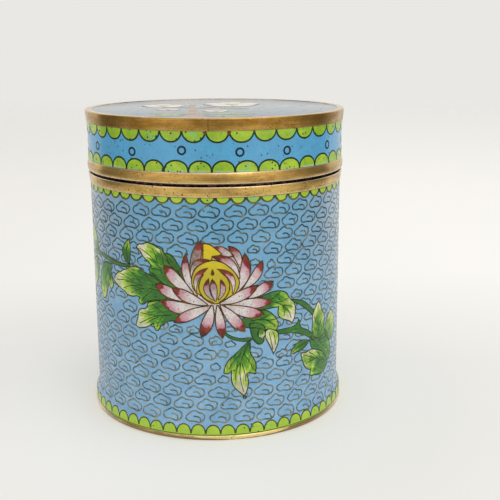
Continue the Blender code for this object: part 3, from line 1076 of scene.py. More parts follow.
HEART = [
    (-1.0, 38.9), (-2.6, 39.6), (-4.2, 41.0), (-6.1, 42.6), (-6.8, 45.0), (-6.4, 47.2), (-5.4, 48.8),
    (-3.8, 49.9), (-1.5, 50.8), (1.0, 50.3), (3.0, 49.3), (4.3, 48.0), (5.3, 46.3), (5.9, 44.8), (5.3, 42.6),
    (4.1, 41.0), (1.4, 39.4),
]
HEART_CAP = [
    (-3.6, 55.3), (-2.0, 55.1), (-0.3, 53.9), (1.3, 52.5), (0.8, 52.2), (-1.2, 51.9), (-1.5, 50.6),
    (-3.7, 50.9),
]
HEART_DROP = [(-1.2, 48.5), (-0.8, 47.6), (-0.8, 46.9), (-1.2, 46.6), (-1.6, 46.9), (-1.6, 47.6)]
HEART_WIRES = [
    [(-1.0, 39.2), (-3.2, 40.2), (-4.5, 41.8), (-4.9, 43.6), (-4.5, 45.4), (-3.6, 47.0)],
    [(0.4, 39.3), (1.8, 40.2), (2.9, 41.8), (3.3, 43.6), (2.9, 45.4), (1.8, 46.8), (0.6, 47.9)],
]

PETAL_PROFILE = [(0.0, 0.14), (0.2, 0.60), (0.4, 0.90), (0.55, 1.0), (0.7, 0.96), (0.84, 0.69), (0.93, 0.38)]
LEAF_PROFILE = [(0.0, 0.12), (0.12, 0.55), (0.3, 0.95), (0.45, 1.0), (0.65, 0.85), (0.85, 0.45)]


def middle_of(base, tip, bend, share):
    """A point on the bent middle line of a petal or leaf, and the direction to its left."""
    way = Vector(tip) - Vector(base)
    left = Vector((-way.y, way.x)).normalized()
    return Vector(base) + way * share + left * (bend * 4.0 * share * (1.0 - share)), left


def blade(base, tip, width, bend=0.0, profile=PETAL_PROFILE):
    """Outline of a pointed petal or leaf round a bent middle line."""
    sides = ([], [])
    for share, half in profile:
        middle, left = middle_of(base, tip, bend, share)
        for side, sign in zip(sides, (1.0, -1.0)):
            side.append(tuple(middle + left * (sign * half * 0.5 * width)))
    return sides[0] + [tuple(tip)] + sides[1][::-1]


def along_blade(base, tip, tone_shift=0.0):
    """Gives a petal's points (distance along, distance across, nearness to the tip, which is 1 there)."""
    start, end = Vector(base), Vector(tip)
    way = end - start
    length = way.length
    way.normalize()

    def place(x, y):
        offset = Vector((x, y)) - start
        along = offset.dot(way)
        across = offset.x * -way.y + offset.y * way.x
        return (along, across, 1.0 - (length - along) / min(10.0, length) + tone_shift)

    return place


def inside(point, outline):
    """Whether a point lies inside a closed outline."""
    x, y = point
    within = False
    for (ax, ay), (bx, by) in zip(outline, outline[1:] + outline[:1]):
        if (ay > y) != (by > y) and x < (bx - ax) * (y - ay) / (by - ay) + ax:
            within = not within
    return within


# Grey and brown dirt on petals as (centre, full out to, none from, most, colour)
PETAL_DIRT = [
    ((-4.9, 52.0), 2.6, 5.2, 0.85, tint(108, 92, 72)),
    ((-4.6, 45.6), 0.6, 2.2, 0.75, tint(112, 88, 84)),
    ((3.8, 53.0), 1.8, 4.0, 0.45, tint(126, 102, 86)),
    ((-0.8, 42.6), 2.4, 4.2, 0.62, tint(140, 116, 118)),
]


def petal_material():
    """White enamel that turns pink and then dark red towards a petal's tip, with worn and dirty places."""
    colours = bpy.context.scene.caddy_colours

    def colour(tree, place):
        parts = apart(tree, field_place(tree))
        edge = reckon(tree, "MULTIPLY", reckon(tree, "MULTIPLY", parts["Y"], parts["Y"]), 0.030)
        wander = spread(tree, grain(tree, place, 650.0, 4.0, 0.6), 0.3, 0.7, -0.07, 0.07)
        share = reckon(tree, "ADD", reckon(tree, "ADD", parts["Z"], edge), wander)
        white, pink, tip = tuple(colours.petal_white), tuple(colours.petal_pink), tuple(colours.petal_tip)
        brick = blend(tree, spread(tree, grain(tree, place, 420.0, 2.0), 0.42, 0.58), tip, tint(144, 46, 24))
        shade = ramp(tree, share, [
            (0.0, tint(196, 186, 178)), (0.22, white), (0.44, white), (0.60, tint(212, 182, 188)),
            (0.75, pink), (0.79, tint(150, 66, 72))])
        blush = reckon(tree, "MULTIPLY", spread(tree, grain(tree, place, 330.0, 3.0), 0.52, 0.70, 0.0, 0.55),
                       spread(tree, share, 0.25, 0.5))
        shade = blend(tree, blush, shade, tint(204, 160, 178))
        worn = spread(tree, grain(tree, place, 1500.0, 3.0, 0.7), 0.46, 0.70, 0.0, 0.55)
        shade = blend(tree, worn, shade, tint(158, 128, 126))
        dots = speck_mask(tree, place, 1900.0, 0.16, 0.36)
        shade = blend(tree, dots, shade, tint(140, 96, 104))
        smoke = grain(tree, place, 520.0, 3.0, 0.65)
        for centre, low, high, most, dirt in PETAL_DIRT:
            away = far_from(tree, place, laid("body", *centre, 0.0))
            cover = reckon(tree, "MULTIPLY", spread(tree, away, low * MM, high * MM, most, 0.0),
                           spread(tree, smoke, 0.34, 0.56, 0.35, 1.0))
            shade = blend(tree, cover, shade, dirt)
        shade = blend(tree, spread(tree, share, 0.785, 0.805), shade, brick)
        return blend(tree, spread(tree, share, 0.86, 1.0, 0.0, 0.7), shade, tint(66, 12, 12))

    return enamel("Petal enamel", colour, tint(206, 190, 186), 0.0, tint(90, 50, 54), 0.006, 1300.0)


def heart_material():
    """Yellow enamel, deeper towards the top."""
    colours = bpy.context.scene.caddy_colours

    def colour(tree, place):
        wander = spread(tree, grain(tree, place, 300.0, 3.0), 0.3, 0.7, -1.2 * MM, 1.2 * MM)
        share = spread(tree, reckon(tree, "ADD", apart(tree, place)["Z"], wander), 41.0 * MM, 55.0 * MM)
        return ramp(tree, share, [
            (0.0, tint(198, 182, 34)), (0.35, tint(192, 176, 28)), (0.55, tint(202, 184, 22)),
            (0.68, tint(222, 202, 20)), (0.85, tuple(colours.heart_yellow)), (1.0, tint(234, 196, 16))])

    return enamel("Heart enamel", colour, tint(170, 150, 24), 0.45, tint(90, 80, 30), 0.04, 1100.0)


def wire_finish(name, colour, tarnish, stain=0.5, brown_share_of=None, pits=0.4):
    """Wire ground flush and dulled, so it shows more of its tarnish than of the room."""
    if name in bpy.data.materials:
        return bpy.data.materials[name]
    material, tree, shader, place = start_material(name)
    surface = add(tree, "ShaderNodeGroup", node_tree=brass_group(), inputs={
        "Place": stretched(tree, place, (2.4, 2.4, 2.4)), "Bright": colour,
        "Tarnish": tarnish, "Stain": brown_share_of(tree, place) if brown_share_of else stain, "Pits": pits,
        "Grain": 0.12})
    finish_surface(tree, shader, surface, 0.005 * MM, 0.3)
    shader.inputs["IOR"].default_value = 1.38
    return material


def petal_wire():
    """The golden brown wire round the petals."""
    return wire_finish("Petal wire", tuple(bpy.context.scene.caddy_colours.wire_gold), tint(44, 22, 4), 0.56)


def leaf_wire():
    """The dull wire round leaves and stems."""
    return wire_finish("Leaf wire", tint(150, 132, 52), tint(16, 42, 4), 0.66)


class CADDY_OT_flower(bpy.types.Operator):
    """Make the flower on the front: petals, yellow heart and their wires"""

    bl_idname = "caddy.flower"
    bl_label = "Flower"

    def execute(self, context):
        step = context.scene.caddy_sizes.inlay_step / MM
        width = context.scene.caddy_sizes.spray_wire_width / MM
        seed = random.Random(5)
        petals = Inlay("body")
        heart = Inlay("body")
        wires = Inlay("body")
        for outline in PETAL_GROUNDS:
            petals.field(outline, PETAL_GROUND_LEVEL, lambda x, y: (x, 0.0, 0.2))
        for level, base, tip, breadth, bend, darker in PETALS:
            outline = blade(base, tip, breadth, bend)
            edged(petals, wires, outline, PETAL_LEVEL + level * step,
                  width * (0.75 if breadth < 1.8 else 1.0),
                  along_blade(base, tip, darker + seed.uniform(-0.01, 0.01)))
        edged(heart, wires, HEART, PETAL_LEVEL + 4.0 * step, width)
        edged(heart, wires, HEART_CAP, PETAL_LEVEL + 3.0 * step, width)
        front = PETAL_LEVEL + 7.0 * step + WIRE_RISE
        wires.wires(HEART_WIRES, front, width, False)
        wires.field(HEART_DROP, front)
        petals.finish("flower_petals", petal_material())
        heart.finish("flower_heart", heart_material())
        wires.finish("flower_wires", petal_wire())
        return {"FINISHED"}


# Leaves as (level, base, outline, tones at points from 0 dark to 1 cream, veins)
LEFT_LEAVES = [
    (0, (-11.0, 46.0), [
        (-23.1, 53.0), (-22.3, 53.9), (-21.0, 54.1), (-19.8, 54.6), (-18.0, 54.4), (-16.5, 53.7),
        (-15.2, 53.2), (-14.2, 52.0), (-12.6, 49.5), (-10.5, 47.5), (-9.0, 44.5), (-12.0, 42.5),
        (-14.5, 43.6), (-16.5, 45.3), (-17.8, 46.2), (-18.6, 46.6), (-19.2, 47.3), (-18.2, 48.4),
        (-19.7, 49.8), (-21.0, 50.8), (-21.6, 51.8), (-22.4, 52.6)],
     [(-23.0, 53.0, 1.0), (-21.5, 53.3, 0.92), (-19.8, 54.4, 0.8), (-18.6, 53.8, 0.55), (-19.5, 52.5, 0.58),
      (-21.0, 51.5, 0.85), (-20.0, 50.6, 0.75), (-18.0, 52.0, 0.40), (-16.0, 53.4, 0.72),
      (-17.6, 50.0, 0.38), (-16.0, 51.2, 0.08), (-18.5, 48.9, 0.45), (-17.0, 47.0, 0.14),
      (-14.5, 47.0, 0.02), (-13.0, 50.0, 0.02)],
     [[(-22.0, 52.9), (-19.4, 51.6), (-17.2, 49.9), (-15.6, 47.6), (-14.6, 45.4)],
      [(-15.4, 52.9), (-14.9, 51.2), (-14.6, 49.2)], [(-18.0, 53.4), (-17.0, 51.6), (-16.4, 49.4)],
      [(-19.8, 50.6), (-18.3, 50.1), (-17.0, 49.3)], [(-18.4, 47.6), (-17.2, 47.7), (-15.9, 47.4)]]),
    (1, (-10.0, 48.0), [
        (-14.0, 52.2), (-12.8, 52.1), (-11.6, 51.2), (-10.6, 49.6), (-9.7, 48.3), (-10.4, 47.5),
        (-12.2, 48.6), (-13.4, 50.4)],
     [(-12.0, 50.0, 0.02)],
     [[(-13.4, 51.6), (-12.4, 50.2), (-11.0, 48.6)]]),
    (0, (-15.0, 42.0), [
        (-33.1, 42.3), (-32.3, 43.4), (-31.0, 44.6), (-29.5, 45.2), (-28.2, 46.0), (-27.0, 46.3),
        (-26.2, 46.9), (-25.0, 47.3), (-23.5, 47.5), (-22.2, 47.2), (-20.8, 46.5), (-19.2, 45.9),
        (-17.8, 45.6), (-16.5, 44.6), (-14.5, 43.0), (-13.0, 40.5), (-15.0, 39.3), (-17.5, 39.0),
        (-19.0, 38.6), (-20.4, 37.9), (-21.3, 37.3), (-22.5, 37.4), (-22.9, 38.1), (-22.4, 39.0),
        (-23.5, 39.3), (-24.7, 39.0), (-26.0, 38.9), (-27.3, 39.2), (-28.3, 39.9), (-29.5, 40.3),
        (-31.0, 41.0), (-32.4, 41.7)],
     [(-33.0, 42.3, 0.86), (-31.0, 43.6, 0.88), (-29.0, 45.2, 0.86), (-28.0, 44.2, 0.6), (-25.6, 47.0, 0.6),
      (-23.4, 47.2, 0.72), (-26.2, 45.4, 0.48), (-24.4, 45.8, 0.28), (-28.2, 42.0, 0.6), (-27.0, 40.2, 0.58),
      (-24.5, 39.5, 0.64), (-29.4, 40.9, 0.82), (-26.8, 43.2, 0.3), (-25.0, 43.2, 0.12), (-22.0, 44.0, 0.04),
      (-23.0, 42.0, 0.15), (-22.0, 46.6, 0.1), (-19.0, 45.0, 0.03), (-20.0, 41.0, 0.12), (-22.4, 37.9, 0.5),
      (-17.0, 42.0, 0.04), (-21.0, 38.6, 0.12)],
     [[(-31.4, 42.6), (-28.0, 43.1), (-24.0, 42.8), (-20.0, 42.2), (-16.5, 41.6)],
      [(-29.8, 44.6), (-27.2, 44.2), (-24.6, 43.2)], [(-26.4, 46.3), (-24.4, 45.2), (-21.6, 43.0)],
      [(-28.6, 40.7), (-26.4, 41.6), (-23.4, 42.2)], [(-25.6, 39.7), (-23.6, 40.9), (-20.8, 41.8)],
      [(-22.0, 38.2), (-20.4, 39.8), (-18.4, 41.2)], [(-20.6, 45.9), (-19.0, 44.4), (-17.6, 42.6)]]),
    (1, (-11.0, 35.0), [
        (-10.5, 35.8), (-13.0, 37.0), (-15.0, 38.2), (-16.3, 38.9), (-18.0, 38.5), (-19.7, 37.9),
        (-20.0, 36.8), (-21.0, 36.0), (-22.0, 35.9), (-23.0, 35.0), (-23.3, 33.5), (-23.8, 32.0),
        (-24.2, 30.8), (-23.0, 30.3), (-21.5, 30.6), (-20.2, 31.0), (-19.0, 31.8), (-18.1, 32.2),
        (-17.9, 31.2), (-17.5, 30.4), (-16.8, 30.5), (-16.2, 31.3), (-15.8, 32.0), (-15.0, 32.3),
        (-14.2, 33.1), (-13.2, 33.5), (-11.8, 33.7), (-9.0, 34.3), (-7.0, 36.5)],
     [(-23.8, 30.8, 0.88), (-23.3, 33.0, 0.84), (-22.2, 35.3, 0.74), (-20.4, 36.2, 0.82), (-21.2, 33.2, 0.58),
      (-20.0, 31.4, 0.78), (-22.0, 31.6, 0.74), (-19.0, 33.0, 0.34), (-19.2, 35.4, 0.28), (-17.0, 37.4, 0.1),
      (-18.6, 38.2, 0.42), (-16.0, 35.0, 0.18), (-17.2, 31.0, 0.6), (-16.9, 32.6, 0.34), (-14.5, 33.6, 0.04),
      (-12.0, 35.0, 0.02)],
     [[(-22.8, 31.6), (-20.0, 33.2), (-17.0, 34.6), (-12.8, 35.2)],
      [(-22.4, 34.7), (-20.0, 34.6), (-17.6, 34.6)],
      [(-20.4, 32.0), (-18.4, 33.4), (-16.6, 34.2)], [(-18.4, 37.7), (-16.6, 36.6), (-14.6, 35.3)],
      [(-17.1, 31.3), (-16.4, 33.0), (-15.2, 34.4)]]),
    (0, (-26.0, 48.2), [
        (-26.0, 48.0), (-26.6, 48.2), (-27.6, 49.0), (-28.4, 50.5), (-28.2, 52.0), (-27.2, 53.6),
        (-25.8, 54.9), (-25.5, 53.5), (-25.4, 52.0), (-25.5, 50.5), (-25.6, 49.0)],
     [(-25.8, 54.8, 0.55), (-26.5, 53.0, 0.42), (-27.2, 51.0, 0.05), (-26.0, 49.0, 0.03)],
     [[(-26.0, 53.6), (-26.9, 51.4), (-26.4, 48.8)]]),
    (0, (-34.0, 46.0), [
        (-34.0, 46.6), (-37.5, 46.5), (-40.0, 44.5), (-41.5, 41.0), (-41.3, 38.0), (-40.0, 35.3),
        (-38.3, 36.0), (-37.0, 38.5), (-35.9, 40.6), (-34.8, 39.1), (-33.6, 40.0), (-33.8, 42.6),
        (-34.4, 44.4)],
     [(-39.6, 36.4, 0.66), (-38.8, 38.0, 0.58), (-38.0, 41.0, 0.3), (-37.0, 44.0, 0.1), (-34.4, 40.2, 0.6),
      (-41.0, 40.0, 0.4), (-35.0, 44.0, 0.1)],
     [[(-39.4, 37.0), (-38.4, 41.0), (-36.0, 45.0)], [(-34.5, 40.4), (-35.2, 43.0), (-36.0, 45.0)]]),
    (0, (-43.0, 46.0), [
        (-43.5, 46.5), (-46.5, 46.0), (-49.5, 43.5), (-51.0, 40.0), (-50.0, 36.0), (-47.0, 38.0),
        (-44.5, 40.5), (-43.0, 43.5)],
     [(-50.0, 37.0, 0.8), (-47.0, 41.0, 0.5), (-44.0, 45.0, 0.15)],
     [[(-49.4, 37.6), (-47.0, 42.0), (-44.0, 46.0)]]),
    (0, (-43.0, 48.4), [
        (-42.5, 48.8), (-43.5, 52.0), (-46.0, 54.6), (-50.0, 56.0), (-49.5, 52.4), (-47.5, 49.8),
        (-45.0, 48.6)],
     [(-49.0, 55.0, 0.75), (-46.0, 52.5, 0.5), (-43.5, 49.5, 0.12)],
     [[(-48.8, 55.0), (-46.0, 51.8), (-43.0, 49.0)]]),
]

# Dark green that shows between the petals
SHADOWS = [
    [(-9.0, 41.0), (-8.6, 38.6), (-12.0, 38.4), (-15.0, 38.8), (-16.0, 40.2), (-13.0, 41.6)],
    [(-10.8, 47.8), (-9.4, 48.8), (-8.8, 46.0), (-8.8, 43.6), (-10.6, 43.2), (-12.6, 44.8), (-12.4, 46.6)],
    [(-19.2, 46.4), (-18.2, 47.8), (-15.0, 46.5), (-13.2, 43.4), (-15.4, 42.6), (-18.4, 44.8)],
]

RIGHT_LEAVES = [
    (0, (12.0, 38.0), [
        (10.0, 40.2), (11.5, 40.0), (13.5, 40.6), (16.0, 41.1), (18.0, 40.9), (19.7, 40.1), (20.3, 39.2),
        (21.2, 38.0), (22.2, 37.2), (22.7, 35.8), (22.8, 34.2), (22.5, 32.6), (21.7, 31.2), (20.6, 32.0),
        (19.2, 32.6), (17.7, 33.4), (17.0, 34.6), (17.1, 35.8), (17.2, 36.6), (15.5, 36.6), (13.0, 36.4),
        (9.0, 36.6)],
     [(12.0, 40.0, 0.05), (14.0, 38.5, 0.03), (17.0, 39.6, 0.14), (18.4, 40.7, 0.5), (19.4, 38.0, 0.58),
      (20.6, 37.0, 0.76), (22.3, 36.0, 0.82), (19.5, 36.1, 0.22), (21.0, 36.4, 0.36), (18.0, 35.0, 0.56),
      (17.5, 36.0, 0.5), (20.0, 34.0, 0.8), (22.0, 33.0, 0.86), (21.6, 31.5, 1.0), (19.0, 33.3, 0.82),
      (13.0, 36.9, 0.02)],
     [[(21.4, 32.6), (20.6, 34.6), (18.6, 36.6), (15.5, 38.2), (12.0, 38.6)],
      [(19.0, 33.6), (19.0, 35.2), (18.4, 36.7)],
      [(22.0, 35.6), (20.4, 36.4), (18.6, 36.8)], [(20.4, 38.6), (18.2, 38.0), (16.4, 38.0)],
      [(17.6, 40.6), (15.8, 39.4), (14.0, 38.7)]]),
    (1, (10.0, 34.0), [
        (7.0, 34.9), (9.0, 34.9), (11.0, 36.2), (13.5, 36.0), (15.0, 35.0), (16.3, 33.5), (17.0, 32.0),
        (16.9, 30.8), (16.2, 29.8), (14.0, 30.6), (12.0, 30.9), (10.5, 31.5), (9.0, 31.6), (7.5, 32.0),
        (6.5, 33.0)],
     [(11.0, 36.0, 0.02), (8.0, 33.0, 0.03), (12.0, 34.0, 0.2), (13.5, 33.0, 0.3), (15.5, 34.0, 0.5),
      (16.3, 32.4, 0.6), (15.5, 30.5, 0.55), (13.0, 31.5, 0.34), (11.0, 31.6, 0.1), (14.5, 35.0, 0.24)],
     [[(16.2, 31.0), (14.6, 32.6), (12.4, 33.6), (9.0, 33.6)], [(16.2, 33.2), (14.6, 33.2), (13.0, 33.4)],
      [(14.4, 34.8), (13.0, 34.2), (11.4, 33.8)]]),
    (2, (14.5, 30.5), [
        (13.3, 30.2), (13.2, 28.6), (13.9, 27.0), (14.7, 25.4), (15.6, 23.4), (16.4, 24.8), (17.1, 26.7),
        (17.2, 28.3), (16.8, 29.5), (15.5, 30.3), (14.2, 30.7)],
     [(13.8, 29.5, 0.8), (15.5, 29.3, 0.6), (15.0, 27.5, 0.86), (16.5, 27.0, 0.66), (15.5, 24.6, 0.9),
      (15.5, 23.5, 1.0)],
     [[(15.4, 24.6), (14.9, 27.0), (14.2, 29.8)], [(16.3, 26.0), (16.0, 28.0), (15.3, 29.8)]]),
    (1, (12.0, 31.0), [
        (11.0, 30.2), (11.2, 28.8), (12.2, 28.2), (13.0, 29.0), (13.0, 30.3), (12.2, 31.2)],
     [(11.8, 30.5, 0.2), (12.2, 28.7, 0.85)], []),
    (1, (10.0, 33.0), [
        (8.6, 32.8), (8.9, 30.9), (9.4, 28.9), (10.4, 27.3), (11.6, 26.7), (12.6, 27.3), (12.8, 28.4),
        (13.2, 30.0), (12.8, 31.6), (11.0, 32.8)],
     [(10.5, 30.0, 0.03)], []),
    (1, (8.5, 28.3), [
        (8.7, 28.2), (7.6, 27.2), (6.2, 26.0), (4.8, 24.6), (3.4, 23.4), (2.4, 22.2), (1.7, 20.6),
        (1.5, 19.2), (2.6, 19.0), (3.6, 19.7), (3.5, 18.0), (3.7, 16.3), (4.6, 14.6), (5.8, 13.4),
        (7.0, 12.2), (7.6, 13.2), (8.1, 15.0), (8.2, 16.8), (7.7, 18.4), (8.2, 18.8), (9.2, 18.7),
        (10.2, 18.3), (10.4, 20.0), (10.3, 21.6), (9.6, 23.0), (8.8, 24.6), (8.8, 26.3)],
     [(8.5, 27.5, 0.03), (7.0, 25.0, 0.1), (5.0, 24.0, 0.15), (5.6, 22.6, 0.26), (9.0, 23.4, 0.4),
      (3.0, 22.0, 0.5), (2.2, 20.0, 0.54), (9.5, 20.5, 0.5), (9.8, 19.0, 0.54), (5.0, 20.0, 0.5),
      (4.5, 17.5, 0.55), (7.7, 17.0, 0.55), (6.0, 17.5, 0.9), (5.5, 15.0, 0.86), (6.8, 13.2, 0.98),
      (6.3, 21.5, 0.4), (7.8, 15.6, 0.62)],
     [[(6.9, 13.4), (6.1, 16.6), (5.9, 20.0), (6.6, 23.6), (8.4, 27.4)],
      [(2.8, 20.2), (4.0, 22.2), (6.2, 24.6)],
      [(9.6, 19.6), (8.8, 21.6), (7.0, 24.4)], [(4.6, 17.2), (4.9, 19.8), (5.9, 22.0)],
      [(7.5, 16.4), (7.2, 19.0), (6.4, 21.8)]]),
    (1, (31.5, 25.5), [
        (32.7, 35.2), (31.5, 34.0), (30.3, 32.4), (29.8, 31.0), (30.0, 29.0), (29.7, 27.5), (30.3, 25.8),
        (31.5, 24.5), (34.0, 24.0), (36.0, 25.5), (35.8, 27.5), (36.1, 29.6), (35.6, 31.0), (34.5, 32.2),
        (33.8, 33.8)],
     [(32.7, 35.0, 1.0), (31.5, 33.5, 0.66), (33.0, 33.5, 0.84), (30.3, 31.0, 0.78), (35.6, 30.0, 0.76),
      (34.0, 31.5, 0.46), (32.0, 30.0, 0.24), (30.3, 28.0, 0.62), (33.0, 27.5, 0.22), (30.6, 26.0, 0.4),
      (36.0, 26.0, 0.4), (33.0, 25.0, 0.08)],
     [[(32.7, 34.0), (32.4, 30.0), (33.0, 26.0)], [(30.6, 31.0), (31.4, 29.4), (32.5, 28.2)],
      [(35.4, 30.4), (34.2, 29.0), (32.8, 27.6)], [(30.4, 28.0), (31.4, 27.0), (32.6, 26.4)]]),
    (1, (28.3, 24.4), [
        (28.3, 24.5), (26.5, 25.2), (24.5, 25.2), (22.8, 24.4), (21.7, 23.2), (21.3, 22.1), (23.0, 22.3),
        (25.0, 22.4), (26.8, 23.1), (28.2, 24.3)],
     [(21.9, 22.7, 0.64), (23.0, 24.0, 0.2), (25.0, 24.3, 0.04), (27.0, 24.0, 0.02)],
     [[(22.4, 23.0), (24.6, 23.8), (27.4, 24.3)]]),
    (0, (34.0, 22.0), [
        (28.6, 24.6), (30.0, 25.6), (33.0, 26.4), (36.5, 25.8), (38.6, 23.0), (40.4, 20.0), (41.2, 17.0),
        (38.5, 15.6), (35.0, 16.0), (32.0, 19.4), (29.6, 22.0)],
     [(31.0, 24.6, 0.08), (34.0, 22.0, 0.14), (38.0, 20.0, 0.22), (36.0, 17.0, 0.16)],
     [[(40.0, 17.6), (36.0, 21.0), (31.0, 24.6)], [(38.0, 23.4), (35.6, 23.4), (33.0, 23.2)]]),
    (1, (35.0, 17.8), [
        (25.0, 21.6), (27.0, 21.3), (29.5, 21.6), (31.5, 21.0), (33.5, 20.2), (35.5, 19.0), (37.5, 17.0),
        (38.5, 14.6), (36.5, 13.3), (34.0, 12.9), (31.0, 13.4), (29.0, 13.8), (29.0, 14.6), (29.3, 15.6),
        (27.6, 16.3), (26.3, 17.8), (25.6, 19.5)],
     [(25.3, 21.3, 0.78), (28.0, 21.3, 0.82), (31.0, 20.8, 0.76), (27.0, 19.2, 0.56), (27.5, 17.2, 0.66),
      (30.0, 16.0, 0.6), (29.6, 18.6, 0.14), (31.5, 20.0, 0.5), (33.2, 18.8, 0.4), (30.0, 14.3, 0.56),
      (31.2, 15.0, 0.15), (35.0, 15.0, 0.2), (33.0, 17.0, 0.14), (36.5, 16.5, 0.12)],
     [[(26.0, 20.8), (29.6, 19.2), (33.0, 17.8), (36.4, 16.4)], [(28.4, 21.0), (30.4, 19.8), (32.4, 18.2)],
      [(27.0, 17.8), (29.4, 18.2), (31.6, 18.2)], [(30.0, 14.6), (32.0, 16.0), (34.0, 17.2)],
      [(31.8, 20.6), (33.2, 19.2), (34.6, 17.2)]]),
    (0, (37.6, 24.6), [
        (36.8, 25.5), (37.2, 27.5), (38.3, 29.0), (40.5, 30.6), (43.0, 29.0), (43.8, 26.0), (43.5, 23.0),
        (41.0, 21.4), (38.4, 22.4)],
     [(40.4, 30.0, 0.72), (42.5, 27.0, 0.6), (39.0, 26.5, 0.45), (40.0, 23.5, 0.3), (38.0, 24.0, 0.2)],
     [[(40.6, 29.4), (40.0, 26.6), (38.6, 24.0)], [(42.8, 26.8), (41.4, 25.4), (39.6, 24.8)]]),
]

LEAF_CURL = [(7.0, 12.4), (6.7, 11.8), (7.0, 11.4), (7.5, 11.5), (7.6, 12.0), (7.2, 12.2)]

# Outlines of the stems
STEMS = [
    [(-25.6, 47.9), (-28.0, 47.7), (-31.0, 47.7), (-34.0, 48.1), (-37.0, 48.6), (-42.0, 48.8), (-50.0, 47.6),
     (-50.0, 46.6), (-42.0, 47.7), (-37.0, 47.5), (-34.0, 47.0), (-31.0, 46.7), (-28.0, 46.8), (-25.8, 47.2)],
    [(2.0, 30.9), (3.0, 30.0), (4.5, 29.3), (6.5, 28.8), (8.8, 28.9), (9.6, 28.3), (8.6, 28.0), (6.5, 28.0),
     (4.5, 28.5), (3.0, 29.2), (1.8, 30.2)],
    [(15.6, 29.9), (19.0, 30.0), (22.0, 30.1), (23.2, 30.5), (24.0, 31.6), (24.6, 31.2), (24.6, 29.7),
     (27.0, 28.2), (29.0, 26.9), (31.0, 25.7), (32.0, 24.6), (31.0, 23.8), (29.5, 24.7), (27.5, 26.0),
     (25.0, 27.2), (22.0, 28.2), (19.0, 28.6), (15.8, 28.8)],
    [(21.6, 38.0), (24.0, 37.4), (26.0, 36.6), (28.0, 35.1), (30.0, 33.2), (30.6, 32.0), (30.0, 31.4),
     (28.5, 32.9), (26.5, 34.4), (24.5, 35.9), (22.4, 37.0)],
]

# The plainer spray round the back: leaves as (base, tip, width, bend), stems, and the middle of its flower
BACK_LEAVES = [
    ((84.0, 33.0), (74.0, 44.0), 6.5, 1.0), ((88.0, 35.0), (76.0, 26.0), 6.0, -0.8),
    ((100.0, 39.0), (91.0, 51.0), 6.8, 0.9), ((124.0, 34.0), (134.0, 45.0), 6.6, -0.9),
    ((126.0, 31.0), (138.0, 25.0), 6.2, 0.7), ((104.0, 32.0), (97.0, 21.0), 6.0, -0.8),
    ((142.0, 39.0), (151.0, 49.0), 6.0, -0.8), ((144.0, 37.0), (156.0, 32.0), 6.0, 0.7),
]
BACK_STEMS = [
    [(84.0, 33.6), (92.0, 36.4), (100.0, 37.2), (108.0, 35.4), (115.0, 33.6), (124.0, 33.6), (134.0, 36.8),
     (144.0, 39.0), (143.8, 38.0), (134.0, 35.6), (124.0, 32.6), (115.0, 32.4), (108.0, 34.2), (100.0, 36.0),
     (92.0, 35.3), (84.4, 32.6)],
]
BACK_HUB = (114.0, 41.0)
BACK_PETALS = 11
BACK_SQUASH = 0.86


def toned(points, base, tip_way):
    """Mixes the tones painted at a few points of a leaf, and measures along and across it."""
    start = Vector(base)
    way = (Vector(tip_way) - start).normalized()

    def place(x, y):
        offset = Vector((x, y)) - start
        total = 0.0
        shares = 0.0
        for px, py, tone in points:
            share = 1.0 / ((px - x) ** 2 + (py - y) ** 2 + 0.12) ** 1.6
            total += tone * share
            shares += share
        return (offset.dot(way), offset.x * -way.y + offset.y * way.x, total / shares)

    return place


def leaf_material():
    """Green enamel that runs through yellow green to cream, streaked along the leaf."""
    colours = bpy.context.scene.caddy_colours

    def colour(tree, place):
        drawing = field_place(tree)
        streaks = grain(tree, stretched(tree, drawing, (0.30, 1.7, 0.0)), 1.0, 3.0, 0.6)
        clouding = grain(tree, place, 700.0, 3.0)
        wander = reckon(tree, "ADD", spread(tree, streaks, 0.3, 0.7, -0.24, 0.24),
                        spread(tree, clouding, 0.3, 0.7, -0.05, 0.05))
        tone = reckon(tree, "ADD", apart(tree, drawing)["Z"], wander)
        return ramp(tree, tone, [
            (0.0, tuple(colours.leaf_dark)), (0.16, tint(42, 122, 22)), (0.36, tuple(colours.leaf_mid)),
            (0.58, tuple(colours.leaf_bright)), (0.70, tint(206, 216, 128)),
            (0.82, tuple(colours.leaf_cream)), (1.0, tint(222, 202, 174))])

    return enamel("Leaf enamel", colour, tint(18, 70, 6), 0.42, tint(20, 34, 8), 0.06, 1200.0)


def far_point(base, outline):
    """The point of an outline farthest from the base."""
    return max(outline, key=lambda point: (point[0] - base[0]) ** 2 + (point[1] - base[1]) ** 2)


class CADDY_OT_leaves(bpy.types.Operator):
    """Make the leaves and stems on both sides of the flower, with their veins"""

    bl_idname = "caddy.leaves"
    bl_label = "Leaves"

    def execute(self, context):
        step = context.scene.caddy_sizes.inlay_step / MM
        width = context.scene.caddy_sizes.spray_wire_width / MM
        fields = Inlay("body")
        wires = Inlay("body")
        for outline in STEMS:
            edged(fields, wires, outline, STEM_LEVEL, 0.8 * width, lambda x, y: (x, y, 0.06))
        for outline in SHADOWS:
            fields.field(outline, STEM_LEVEL, lambda x, y: (x, y, 0.0))
        for level, base, outline, tones, veins in LEFT_LEAVES + RIGHT_LEAVES:
            proud = LEAF_LEVEL + level * step
            edged(fields, wires, outline, proud, width, toned(tones, base, far_point(base, outline)))
            if veins:
                wires.wires(veins, proud + WIRE_RISE, 0.7 * width, False)
        wires.wires([LEAF_CURL], 0.05, width, False)
        fields.finish("leaves", leaf_material())
        wires.finish("leaf_wires", leaf_wire())
        return {"FINISHED"}


